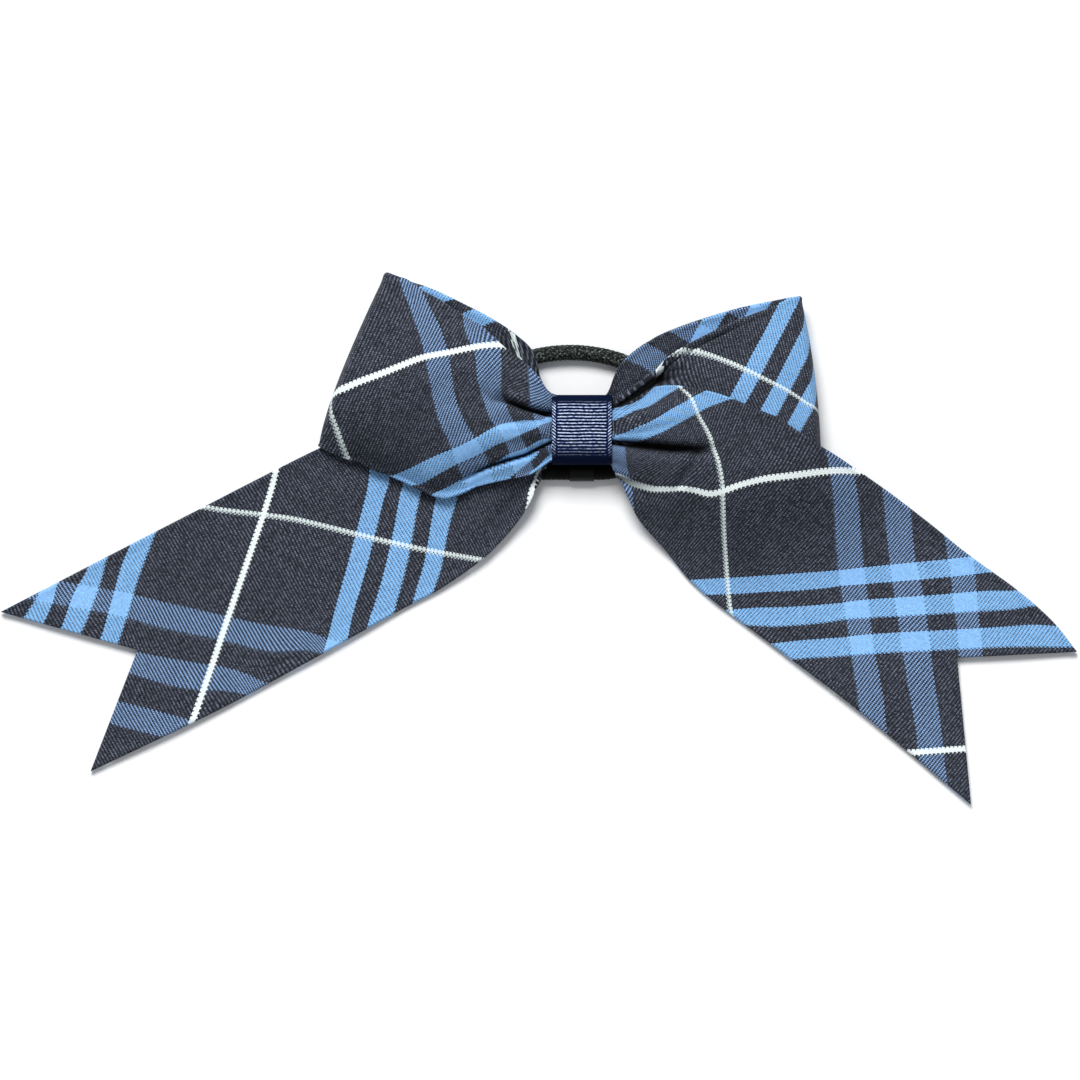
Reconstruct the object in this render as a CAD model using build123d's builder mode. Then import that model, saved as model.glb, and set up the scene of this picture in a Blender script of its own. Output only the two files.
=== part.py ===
"""Cheer hair bow: a plaid strip folded into two loops and two tails, tied at a ribbon knot.

The bow lies on its back, face up. The origin is at the back of the knot, under its middle,
+X runs towards the right loop, +Y towards the loops' upper corners and +Z out of the face.
"""

from build123d import *
from math import asin, cos, radians, sin, sqrt, tan
import os

# The plaid strip
STRIP_WIDTH = 50.0
CLOTH = 1.2
GATHER_WIDTH = 16.4
GATHER_LAYER = 3.1
GATHER_COUNT = 3

# The knot's thread and ribbon
THREAD_DIAMETER = 0.5
THREAD_TURNS = 5
THREAD_PITCH = 1.6
RIBBON_WIDTH = 15.9
RIBBON_THICKNESS = 0.5
RIBBON_CORNER = 4.5
RIBBON_END_HALF = 5.0
RIBBON_STEP = 1.6
GLUE_INSET = 0.95
LAP_SHARE = 0.8

# The hair elastic and the narrow ribbon that holds it
ELASTIC_DIAMETER = 3.8
ELASTIC_WALL = 0.6
ELASTIC_TOP_RADIUS = 42.0
ELASTIC_FLAT_HALF = 8.0
ELASTIC_REACH = 20.6
ELASTIC_SHIFT = -3.0
KEEPER_WIDTH = 6.5
KEEPER_THICKNESS = 0.5
KEEPER_TUCK = 2.0

# The loops, each square to its fold line: direction, reach, and how far off centre it runs
LEFT_LOOP_ANGLE = 158.7
LEFT_LOOP_REACH = 63.0
LEFT_LOOP_OFFSET = -4.9
LEFT_LOOP_CREST = 19.0
LEFT_LOOP_FOLD = 13.4
LEFT_LOOP_LEAN = 3.0
RIGHT_LOOP_ANGLE = 7.6
RIGHT_LOOP_REACH = 62.0
RIGHT_LOOP_OFFSET = 2.4
RIGHT_LOOP_CREST = 14.5
RIGHT_LOOP_FOLD = 11.5
FOLD_RADIUS = 5.2
LOOP_FLARE = 23.0

# The tails: direction, offset, and where their swallowtail points and notch lie
LEFT_TAIL_ANGLE = 207.0
LEFT_TAIL_OFFSET = 2.6
LEFT_TAIL_POINTS = (157.5, 159.5)
LEFT_TAIL_NOTCH = (131.7, 1.5)
LEFT_TAIL_FLARES = (27.0, 22.0)
RIGHT_TAIL_ANGLE = -37.7
RIGHT_TAIL_OFFSET = 10.4
RIGHT_TAIL_POINTS = (142.6, 138.2)
RIGHT_TAIL_NOTCH = (115.9, 13.1)
RIGHT_TAIL_FLARES = (27.0, 14.0)
TAIL_FLARE_SHARE = 0.7
TAIL_FULL = 50.0
TAIL_LANDING = 16.0
DROP_MARGIN = 0.7
DROP_SLOPE = 1.6
LANDING_RADIUS = 14.0
CLIMB = 3.2
ROOT_SHARE = 0.15
LANDING_RUN = 17.0
LOOP_RADII = [8.0, 12.0, FOLD_RADIUS, FOLD_RADIUS, 30.0, 4.0]
CLOTH_SPAN = 200.0

# Clearances
BODY_GAP = 0.3
SNUG = 0.1
RUNNING = 0.05
FLOOR_GAP = 0.05
LOOP_GAP = 0.6

# The knot's levels and half widths
end_top = RIBBON_THICKNESS
layer_top = end_top + KEEPER_THICKNESS
ribbon_low = layer_top
gather_low = ribbon_low + RIBBON_THICKNESS + SNUG + THREAD_DIAMETER
gather_high = gather_low + GATHER_COUNT * GATHER_LAYER
ribbon_high = gather_high + THREAD_DIAMETER + SNUG + RIBBON_THICKNESS
lap_top = ribbon_low + RIBBON_THICKNESS * LAP_SHARE
ribbon_half = GATHER_WIDTH / 2 + THREAD_DIAMETER + SNUG + RIBBON_THICKNESS
ribbon_middle = (ribbon_low + ribbon_high) / 2
gather_half = GATHER_WIDTH / 2
root_x = RIBBON_WIDTH / 2 + BODY_GAP
front_split = gather_high - GATHER_LAYER

# The elastic's strand nests against the ribbon's lower corner
elastic_radius = ELASTIC_DIAMETER / 2
keeper_bore = elastic_radius + RUNNING
keeper_radius = keeper_bore + KEEPER_THICKNESS
strand_z = keeper_radius + FLOOR_GAP
corner_y = ribbon_half - RIBBON_CORNER
corner_z = ribbon_low + RIBBON_CORNER
nest = RIBBON_CORNER + keeper_radius + SNUG
strand_y = -corner_y - sqrt(nest**2 - (corner_z - strand_z) ** 2)
over_elastic = strand_z + elastic_radius + BODY_GAP
elastic_height = ELASTIC_REACH - strand_y
elastic_side = (
    ELASTIC_TOP_RADIUS**2 - ELASTIC_FLAT_HALF**2 - (ELASTIC_TOP_RADIUS - elastic_height) ** 2
) / (2 * (2 * ELASTIC_TOP_RADIUS - elastic_height))
elastic_left = ELASTIC_FLAT_HALF + elastic_side + elastic_radius - ELASTIC_SHIFT
elastic_right = ELASTIC_FLAT_HALF + elastic_side + elastic_radius + ELASTIC_SHIFT
elastic_tilt = asin((strand_z - elastic_radius - FLOOR_GAP) / elastic_height)

os.makedirs("parts", exist_ok=True)


def write(piece, name):
    """Label a finished piece and write its STEP file."""
    piece.part.label = name
    export_step(piece.part, f"parts/{name}.step")


def across(angle, along, aside):
    """A plan point from its distance along a direction and to that direction's left."""
    turn = radians(angle)
    return (along * cos(turn) - aside * sin(turn), along * sin(turn) + aside * cos(turn))


def loop_plan(side, angle, reach, offset):
    """The loop's plan: the gather's exit fanned out to the strip's full width."""
    low = offset - STRIP_WIDTH / 2
    high = offset + STRIP_WIDTH / 2
    past_fold = reach + CLOTH
    edge = [(LOOP_FLARE, low), (past_fold, low), (past_fold, high), (LOOP_FLARE, high)]
    fan = [across(angle, along, side * aside) for along, aside in edge]
    return [(side * root_x, -gather_half), *fan, (side * root_x, gather_half)]


def tail_plan(side, start_x, angle, offset, flares, tips, notch):
    """The tail's plan: the gather's exit fanned out and cut to a swallowtail."""
    low = offset - STRIP_WIDTH / 2
    high = offset + STRIP_WIDTH / 2
    lower = [(flares[0], low * TAIL_FLARE_SHARE), (TAIL_FULL, low), (tips[0], low)]
    upper = [(tips[1], high), (TAIL_FULL, high), (flares[1], high * TAIL_FLARE_SHARE)]
    fan = [across(angle, along, side * aside) for along, aside in [*lower, notch, *upper]]
    return [(side * start_x, -gather_half), *fan, (side * start_x, gather_half)]


def cloth_layer(plane, points, radii, plan):
    """A cloth layer: its side view swept straight across, cut to its plan outline."""
    with BuildPart() as layer:
        with BuildSketch(plane):
            with BuildLine():
                FilletPolyline(*points, radius=radii)
                offset(amount=CLOTH, side=Side.LEFT)
            make_face()
        extrude(amount=CLOTH_SPAN, both=True)
        with BuildSketch(Plane.XY.offset(-CLOTH_SPAN)):
            with BuildLine():
                Polyline(*plan, close=True)
            make_face()
        extrude(amount=2 * CLOTH_SPAN, mode=Mode.INTERSECT)
    return layer


def loop_profile(reach, root_low, root_high, clear, crest, fold, floor):
    """The loop's side view: back layer over the elastic, fold, and crowned front layer."""
    return [
        (0, root_low),
        (clear, root_low),
        (clear + LANDING_RUN, floor),
        (reach, floor),
        (reach, floor + fold),
        (reach / 2, crest),
        (root_x, root_high),
        (0, root_high),
    ]


def upright(angle, lean=0.0):
    """The upright plane along a direction through the origin, leaned about that direction."""
    turn = radians(angle)
    tip = radians(lean)
    return Plane(
        origin=(0, 0, 0),
        x_dir=(cos(turn), sin(turn), 0),
        z_dir=(sin(turn) * cos(tip), -cos(turn) * cos(tip), -sin(tip)),
    )


# Three gathered layers of the strip, one on another, inside the knot
gather_levels = {
    "back_gather": gather_low,
    "middle_gather": gather_low + GATHER_LAYER,
    "front_gather": gather_low + 2 * GATHER_LAYER,
}
for name, level in gather_levels.items():
    with BuildPart() as gather:
        with BuildSketch(Plane.YZ):
            with Locations((0, (gather_low + gather_high) / 2)):
                RectangleRounded(
                    GATHER_WIDTH,
                    gather_high - gather_low,
                    RIBBON_CORNER - RIBBON_THICKNESS - THREAD_DIAMETER - SNUG,
                )
        extrude(amount=RIBBON_WIDTH / 2, both=True)
        with BuildSketch(Plane.YZ):
            with Locations((0, level + GATHER_LAYER / 2)):
                Rectangle(GATHER_WIDTH, GATHER_LAYER)
        extrude(amount=RIBBON_WIDTH, both=True, mode=Mode.INTERSECT)
    write(gather, name)

# Thread wound round the gathers, one closed turn beside another
with BuildPart() as cinch_thread:
    for turn in range(THREAD_TURNS):
        turn_x = (turn - (THREAD_TURNS - 1) / 2) * THREAD_PITCH
        with BuildSketch(Plane.YZ.offset(turn_x - THREAD_DIAMETER / 2)):
            with Locations((0, (gather_low + gather_high) / 2)):
                RectangleRounded(
                    GATHER_WIDTH + 2 * THREAD_DIAMETER,
                    gather_high - gather_low + 2 * THREAD_DIAMETER,
                    RIBBON_CORNER - RIBBON_THICKNESS - SNUG,
                )
                RectangleRounded(
                    GATHER_WIDTH,
                    gather_high - gather_low,
                    RIBBON_CORNER - RIBBON_THICKNESS - THREAD_DIAMETER - SNUG,
                    mode=Mode.SUBTRACT,
                )
        extrude(amount=THREAD_DIAMETER)
write(cinch_thread, "cinch_thread")

# The grosgrain ribbon: one turn round the knot and a glued end that laps under its back
with BuildPart() as knot_ribbon:
    with BuildSketch(Plane.YZ):
        with Locations((0, ribbon_middle)):
            RectangleRounded(2 * ribbon_half, ribbon_high - ribbon_low, RIBBON_CORNER)
            RectangleRounded(
                2 * (ribbon_half - RIBBON_THICKNESS),
                ribbon_high - ribbon_low - 2 * RIBBON_THICKNESS,
                RIBBON_CORNER - RIBBON_THICKNESS,
                mode=Mode.SUBTRACT,
            )
        with BuildLine():
            Polyline(
                (-RIBBON_END_HALF, 0),
                (corner_y + RIBBON_STEP, 0),
                (corner_y + RIBBON_STEP, lap_top),
                (corner_y, lap_top),
                (corner_y, end_top),
                (-RIBBON_END_HALF, end_top),
                close=True,
            )
        make_face()
    extrude(amount=RIBBON_WIDTH / 2, both=True)
write(knot_ribbon, "knot_ribbon")

# Hot glue on both sides of the keeper, between the ribbon's end and its first turn
with BuildPart() as glue_pads:
    pad_x = (KEEPER_WIDTH / 2 + BODY_GAP + RIBBON_WIDTH / 2 - GLUE_INSET) / 2
    pad_length = RIBBON_WIDTH / 2 - GLUE_INSET - KEEPER_WIDTH / 2 - BODY_GAP
    pad_width = corner_y + RIBBON_END_HALF - 2 * SNUG
    pad_y = (corner_y - RIBBON_END_HALF) / 2
    with BuildSketch(Plane.XY.offset(end_top)):
        with Locations((-pad_x, pad_y), (pad_x, pad_y)):
            Rectangle(pad_length, pad_width)
    extrude(amount=KEEPER_THICKNESS)
write(glue_pads, "glue_pads")

# A narrow ribbon closed round the elastic, its ends glued under the knot
with BuildPart() as elastic_keeper:
    with BuildSketch(Plane.YZ):
        with Locations((strand_y, strand_z)):
            Circle(keeper_radius)
        tuck_start = strand_y + keeper_bore / 2
        with Locations(((tuck_start + KEEPER_TUCK) / 2, (end_top + layer_top) / 2)):
            Rectangle(KEEPER_TUCK - tuck_start, KEEPER_THICKNESS)
        with Locations((strand_y, strand_z)):
            Circle(keeper_bore, mode=Mode.SUBTRACT)
    extrude(amount=KEEPER_WIDTH / 2, both=True)
write(elastic_keeper, "elastic_keeper")


def elastic_path():
    """The elastic's centre line: a flat run through the keeper, two sides and a low arch."""
    top_centre = elastic_height - ELASTIC_TOP_RADIUS
    rise = elastic_side - top_centre
    reach = ELASTIC_TOP_RADIUS / (ELASTIC_TOP_RADIUS - elastic_side)
    shoulder = (ELASTIC_FLAT_HALF * reach, top_centre + rise * reach)
    side_tip = (ELASTIC_FLAT_HALF + elastic_side, elastic_side)
    Line((-ELASTIC_FLAT_HALF, 0), (ELASTIC_FLAT_HALF, 0))
    ThreePointArc((ELASTIC_FLAT_HALF, 0), side_tip, shoulder)
    ThreePointArc(shoulder, (0, elastic_height), (-shoulder[0], shoulder[1]))
    ThreePointArc(
        (-shoulder[0], shoulder[1]), (-side_tip[0], side_tip[1]), (-ELASTIC_FLAT_HALF, 0)
    )


elastic_plane = Plane(
    origin=(ELASTIC_SHIFT, strand_y, strand_z),
    x_dir=(1, 0, 0),
    z_dir=(0, sin(elastic_tilt), cos(elastic_tilt)),
)
core_radius = elastic_radius - ELASTIC_WALL

# The elastic's braided sheath, a hollow closed ring
with BuildPart() as elastic_sheath:
    with BuildLine(elastic_plane) as sheath_line:
        elastic_path()
    with BuildSketch(sheath_line.line ^ 0):
        Circle(elastic_radius)
        Circle(core_radius + RUNNING, mode=Mode.SUBTRACT)
    sweep()
write(elastic_sheath, "elastic_sheath")

# The rubber core inside the sheath
with BuildPart() as elastic_core:
    with BuildLine(elastic_plane) as core_line:
        elastic_path()
    with BuildSketch(core_line.line ^ 0):
        Circle(core_radius)
    sweep()
write(elastic_core, "elastic_core")


# The left loop leans so that its upper corner rests down and the left tail fits below it
left_loop = cloth_layer(
    upright(LEFT_LOOP_ANGLE, LEFT_LOOP_LEAN),
    loop_profile(
        LEFT_LOOP_REACH,
        over_elastic + CLOTH + LOOP_GAP,
        gather_high,
        elastic_left + CLOTH,
        LEFT_LOOP_CREST,
        LEFT_LOOP_FOLD,
        (STRIP_WIDTH / 2 + LEFT_LOOP_OFFSET) * tan(radians(LEFT_LOOP_LEAN)) + FLOOR_GAP,
    ),
    LOOP_RADII,
    loop_plan(-1, LEFT_LOOP_ANGLE, LEFT_LOOP_REACH, LEFT_LOOP_OFFSET),
)
write(left_loop, "left_loop")

# The right loop rests on its back layer
right_loop = cloth_layer(
    upright(RIGHT_LOOP_ANGLE),
    loop_profile(
        RIGHT_LOOP_REACH,
        over_elastic,
        front_split,
        elastic_right + CLOTH,
        RIGHT_LOOP_CREST,
        RIGHT_LOOP_FOLD,
        0,
    ),
    LOOP_RADII,
    loop_plan(1, RIGHT_LOOP_ANGLE, RIGHT_LOOP_REACH, RIGHT_LOOP_OFFSET),
)
write(right_loop, "right_loop")

# The left tail leaves the knot's back layer, passes over the elastic and lies flat
left_tail = cloth_layer(
    Plane.XZ,
    [
        (-CLOTH_SPAN, 0),
        (-elastic_left - TAIL_LANDING, 0),
        (-elastic_left, over_elastic),
        (0, over_elastic),
    ],
    LANDING_RADIUS,
    tail_plan(
        -1,
        root_x,
        LEFT_TAIL_ANGLE,
        LEFT_TAIL_OFFSET,
        LEFT_TAIL_FLARES,
        LEFT_TAIL_POINTS,
        LEFT_TAIL_NOTCH,
    ),
)
write(left_tail, "left_tail")

# The right tail climbs from the knot's front layer over the right loop and drops flat
tail_over = RIGHT_LOOP_CREST + BODY_GAP + SNUG
loop_turn = radians(RIGHT_LOOP_ANGLE)
loop_low = (STRIP_WIDTH / 2 - RIGHT_LOOP_OFFSET) * cos(loop_turn) - LOOP_FLARE * sin(loop_turn)
drop_start = loop_low + DROP_MARGIN
root_low = front_split + ROOT_SHARE * (RIGHT_LOOP_CREST - front_split)
sheet_x = root_x + CLIMB
block_x = sheet_x + 2 * CLOTH
tail_sheet = cloth_layer(
    Plane.YZ,
    [
        (-CLOTH_SPAN, 0),
        (-drop_start - DROP_SLOPE * tail_over, 0),
        (-drop_start, tail_over),
        (CLOTH_SPAN, tail_over),
    ],
    LANDING_RADIUS,
    tail_plan(
        1,
        sheet_x,
        RIGHT_TAIL_ANGLE,
        RIGHT_TAIL_OFFSET,
        RIGHT_TAIL_FLARES,
        RIGHT_TAIL_POINTS,
        RIGHT_TAIL_NOTCH,
    ),
)
with BuildPart() as right_tail:
    add(tail_sheet.part)
    with BuildSketch(Plane.XZ):
        with BuildLine():
            Polyline(
                (root_x, root_low),
                (sheet_x - CLOTH, root_low),
                (block_x, tail_over),
                (block_x, tail_over + CLOTH),
                (sheet_x, tail_over + CLOTH),
                (root_x, ribbon_high),
                close=True,
            )
        make_face()
    extrude(amount=gather_half, both=True)
write(right_tail, "right_tail")
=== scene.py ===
"""Cheer hair bow: plaid cloth loops and tails, ribbon-bound knot and hair elastic."""

import logging
import math
from dataclasses import dataclass
from enum import Enum
from functools import partial
from typing import Callable, Sequence

import bpy
import numpy as np
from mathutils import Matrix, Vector


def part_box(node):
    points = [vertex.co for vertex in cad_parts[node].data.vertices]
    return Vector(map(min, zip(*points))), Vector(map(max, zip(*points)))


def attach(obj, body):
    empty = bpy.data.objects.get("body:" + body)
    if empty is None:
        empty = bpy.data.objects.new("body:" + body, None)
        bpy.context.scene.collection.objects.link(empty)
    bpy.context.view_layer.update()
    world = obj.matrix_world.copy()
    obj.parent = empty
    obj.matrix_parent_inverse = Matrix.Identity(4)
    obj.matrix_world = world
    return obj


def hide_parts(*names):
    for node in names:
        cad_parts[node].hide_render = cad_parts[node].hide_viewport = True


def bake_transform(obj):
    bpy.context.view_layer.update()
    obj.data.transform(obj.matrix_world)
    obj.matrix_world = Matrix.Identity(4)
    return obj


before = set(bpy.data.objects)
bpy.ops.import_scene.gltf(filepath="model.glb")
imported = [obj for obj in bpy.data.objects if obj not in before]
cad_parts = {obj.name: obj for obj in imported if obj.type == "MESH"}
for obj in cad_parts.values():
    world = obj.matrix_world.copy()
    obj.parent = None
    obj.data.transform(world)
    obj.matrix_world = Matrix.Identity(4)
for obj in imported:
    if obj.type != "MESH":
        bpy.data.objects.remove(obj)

MM = 0.001
Point = tuple[float, float]
Mark = tuple[float, float, float]
Grid = np.ndarray
Tree = bpy.types.NodeTree
Socket = bpy.types.NodeSocket
Piece = bpy.types.Object
Finish = bpy.types.Material
log = logging.getLogger("cheer_bow")


class Slot(Enum):
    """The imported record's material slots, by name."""

    PLAID = "plaid_cotton"
    GROSGRAIN = "grosgrain_ribbon"
    COVER = "elastic_cover"


class Ply(Enum):
    """The two plies of the strip, each with its own thread coordinates."""

    OUTER = "outer_ply"
    INNER = "inner_ply"


# Colours and nodes

# What a Mix node needs to mix colours
IN_COLOUR = {"out": 2, "data_type": "RGBA"}


def linear(code: str) -> tuple[float, float, float, float]:
    """Turn an sRGB hex colour to linear.

    Args:
        code: six hex digits, without a hash.

    Returns:
        Linear red, green, blue and an alpha of one.
    """
    parts = [int(code[i : i + 2], 16) / 255 for i in (0, 2, 4)]
    flat = [c / 12.92 if c <= 0.04045 else ((c + 0.055) / 1.055) ** 2.4 for c in parts]
    return (flat[0], flat[1], flat[2], 1.0)


def plug(tree: Tree, node: bpy.types.Node, links: dict) -> None:
    """Link or set a node's inputs.

    Args:
        tree: the node tree that holds the node.
        node: the node to feed.
        links: input name or number to an output socket or a fixed value.
    """
    for key, source in links.items():
        if isinstance(source, Socket):
            tree.links.new(source, node.inputs[key])
        else:
            node.inputs[key].default_value = source


def add_node(
    tree: Tree, kind: str, links: dict | None = None, out: int | str = 0, **settings
) -> Socket:
    """Add one shader node, with its settings and links.

    Args:
        tree: the node tree that takes the node.
        kind: the node's type, without Blender's ShaderNode prefix.
        links: input name or number to an output socket or a fixed value.
        out: name or number of the output that is wanted.
        settings: node properties by name.

    Returns:
        The wanted output socket.
    """
    made = tree.nodes.new(f"ShaderNode{kind}")
    for name, value in settings.items():
        setattr(made, name, value)
    plug(tree, made, links or {})
    return made.outputs[out]


def blank_material(name: str) -> tuple[Finish, Tree, bpy.types.Node]:
    """A new material with its tree and its Principled shader."""
    material = bpy.data.materials.new(name)
    material.use_nodes = True
    tree = material.node_tree
    return material, tree, tree.nodes["Principled BSDF"]


@dataclass(frozen=True)
class Stripe:
    """One stripe of the plaid: its centre and width in the repeat, and its yarn colour."""

    centre: float
    width: float
    colour: str


@dataclass(frozen=True)
class YarnSystem:
    """One direction's yarns: the repeat in millimetres, the ground yarn and the stripes."""

    repeat: float
    ground: str
    stripes: tuple[Stripe, ...]

    def stops(self) -> list[tuple[float, str]]:
        """The repeat as a list of positions, each with the colour that starts there."""
        found = [(0.0, self.ground)]
        for stripe in self.stripes:
            start = (stripe.centre - stripe.width / 2) / self.repeat
            end = (stripe.centre + stripe.width / 2) / self.repeat
            if start < 0:
                found[0] = (0.0, stripe.colour)
                found += [(end, self.ground), (1 + start, stripe.colour)]
            else:
                found += [(start, stripe.colour), (end, self.ground)]
        return sorted(found)

    def colour(self, tree: Tree, along: Socket) -> Socket:
        """The yarn colour at a place across these yarns.

        Args:
            tree: the node tree.
            along: socket with the place in millimetres.

        Returns:
            The colour socket.
        """
        repeats = add_node(tree, "Math", {0: along, 1: self.repeat}, operation="DIVIDE")
        share = add_node(tree, "Math", {0: repeats}, operation="FRACT")
        colour = add_node(tree, "ValToRGB", {0: share})
        ramp = colour.node.color_ramp
        ramp.interpolation = "CONSTANT"
        stops = self.stops()
        for position, _ in stops[2:]:
            ramp.elements.new(position)
        for element, (position, code) in zip(ramp.elements, stops):
            element.position = position
            element.color = linear(code)
        return colour


@dataclass(frozen=True)
class PlaidTwill:
    """Yarn-dyed cotton and polyester shirting, woven as a two-and-one twill.

    Two of every three crossings show the bright lengthwise yarn, so its stripes are strong and
    the crosswise stripes are muted dots. The diagonal wales are three yarns apart. The real
    yarns are about 0.19 mm apart, and they are drawn coarser so that they show.
    """

    yarn: float = 0.38
    bleed: float = 0.1
    lengthwise: YarnSystem = YarnSystem(
        76.4,
        "14171D",
        (
            Stripe(0.0, 1.2, "EDF6F4"),
            Stripe(28.7, 4.9, "84BFF6"),
            Stripe(38.2, 4.9, "84BFF6"),
            Stripe(47.7, 4.9, "84BFF6"),
        ),
    )
    crosswise: YarnSystem = YarnSystem(
        91.4,
        "5B606E",
        (
            Stripe(0.0, 0.74, "E2EEEC"),
            Stripe(31.8, 6.8, "93B4E2"),
            Stripe(45.7, 6.8, "93B4E2"),
            Stripe(59.6, 6.8, "93B4E2"),
        ),
    )

    def build(self, ply: Ply) -> Finish:
        """The woven cloth as one ply shows it: soft, matt, with fine diagonal wales."""
        material, tree, shader = blank_material(f"yarn_dyed_twill_{ply.value}")
        place = add_node(tree, "UVMap", uv_map=ply.value)
        counts = add_node(tree, "VectorMath", {0: place, 3: 1 / self.yarn}, operation="SCALE")
        across, along = (add_node(tree, "SeparateXYZ", {0: counts}, out=number) for number in (0, 1))
        pick = add_node(tree, "Math", {0: across}, operation="FLOOR")
        end = add_node(tree, "Math", {0: along}, operation="FLOOR")
        step = add_node(tree, "Math", {0: end, 1: pick}, operation="ADD")
        wale = add_node(tree, "Math", {0: step, 1: 3.0}, operation="FLOORED_MODULO")
        weft_up = add_node(tree, "Math", {0: wale, 1: 0.5}, operation="LESS_THAN")
        # Floats overhang each stripe's border by part of a yarn, so it looks sawn
        overhang = add_node(
            tree, "Math", {0: wale, 1: 0.6 * self.yarn, 2: -0.1 * self.yarn}, operation="MULTIPLY_ADD"
        )
        warp, weft = (
            system.colour(
                tree,
                add_node(
                    tree, "Math", {0: count, 1: self.yarn, 2: overhang}, operation="MULTIPLY_ADD"
                ),
            )
            for system, count in ((self.lengthwise, end), (self.crosswise, pick))
        )
        # The yarn below shows a little between the yarns on top
        over = add_node(tree, "Mix", {0: self.bleed, 6: warp, 7: weft}, **IN_COLOUR)
        under = add_node(tree, "Mix", {0: self.bleed, 6: weft, 7: warp}, **IN_COLOUR)
        woven = add_node(tree, "Mix", {0: weft_up, 6: over, 7: under}, **IN_COLOUR)
        grain = self.grain(tree, place, end, pick)
        speckled = add_node(tree, "Mix", {0: 1.0, 6: woven, 7: grain}, **IN_COLOUR, blend_type="MULTIPLY")
        # Bright dye hides most of the grain that the dark ground shows
        bright = add_node(tree, "RGBToBW", {0: woven})
        calm = add_node(tree, "MapRange", {0: bright, 1: 0.12, 2: 0.35, 4: 0.78})
        woven = add_node(tree, "Mix", {0: calm, 6: speckled, 7: woven}, **IN_COLOUR)
        # White yarns are thicker, and they cover most of what they cross
        for yarns, most in ((warp, 0.8), (weft, 0.66)):
            red = add_node(tree, "SeparateColor", {0: yarns})
            white = add_node(tree, "Math", {0: red, 1: 0.6}, operation="GREATER_THAN")
            cover = add_node(tree, "Math", {0: white, 1: most}, operation="MULTIPLY")
            woven = add_node(tree, "Mix", {0: cover, 6: woven, 7: yarns}, **IN_COLOUR)
        # Painted shade: deep in a crease, by the attribute fold, the colour is mixed towards near black
        fold = add_node(tree, "Attribute", out="Fac", attribute_name="fold")
        depth = add_node(tree, "Math", {0: fold, 1: 0.95}, operation="MULTIPLY")
        woven = add_node(tree, "Mix", {0: depth, 6: woven, 7: linear("040407")}, **IN_COLOUR)
        normal = self.relief(tree, across, along, weft_up)
        plug(tree, shader, {"Base Color": woven, "Normal": normal, "Roughness": 0.86})
        plug(tree, shader, {"Specular IOR Level": 0.12, "Sheen Weight": 0.04, "Sheen Roughness": 0.45})
        return material

    def grain(self, tree: Tree, place: Socket, end: Socket, pick: Socket) -> Socket:
        """How light the yarns are from place to place.

        Args:
            tree: the node tree.
            place: thread coordinates in millimetres.
            end: number of the lengthwise yarn.
            pick: number of the crosswise yarn.

        Returns:
            The factor's socket: slubs yarn by yarn, a salt-and-pepper nap, and a soft wash.
        """
        cell = add_node(tree, "CombineXYZ", {0: end, 1: pick})
        slub = add_node(tree, "TexWhiteNoise", {0: cell}, noise_dimensions="2D")
        factor = add_node(tree, "MapRange", {0: slub, 3: 0.42, 4: 1.58})
        for scale, low, high in ((1.7, 0.72, 1.28), (0.09, 0.95, 1.05)):
            noise = add_node(tree, "TexNoise", {0: place, 2: scale, 3: 2.0}, noise_dimensions="2D")
            swing = add_node(tree, "MapRange", {0: noise, 1: 0.33, 2: 0.67, 3: low, 4: high})
            factor = add_node(tree, "Math", {0: factor, 1: swing}, operation="MULTIPLY")
        return factor

    def relief(self, tree: Tree, across: Socket, along: Socket, weft_up: Socket) -> Socket:
        """The bump of round yarns going over and under each other.

        Args:
            tree: the node tree.
            across: place in yarns across the lengthwise yarns' run.
            along: place in yarns along it.
            weft_up: one where the crosswise yarn is on top.

        Returns:
            The normal socket.
        """
        rounds = []
        for place in (along, across):
            share = add_node(tree, "Math", {0: place}, operation="FRACT")
            turn = add_node(tree, "Math", {0: share, 1: math.pi}, operation="MULTIPLY")
            rounds.append(add_node(tree, "Math", {0: turn}, operation="SINE"))
        top = add_node(tree, "Mix", {0: weft_up, 2: rounds[0], 3: rounds[1]})
        return add_node(tree, "Bump", {"Strength": 0.5, "Distance": 0.08 * MM, "Height": top})


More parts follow.
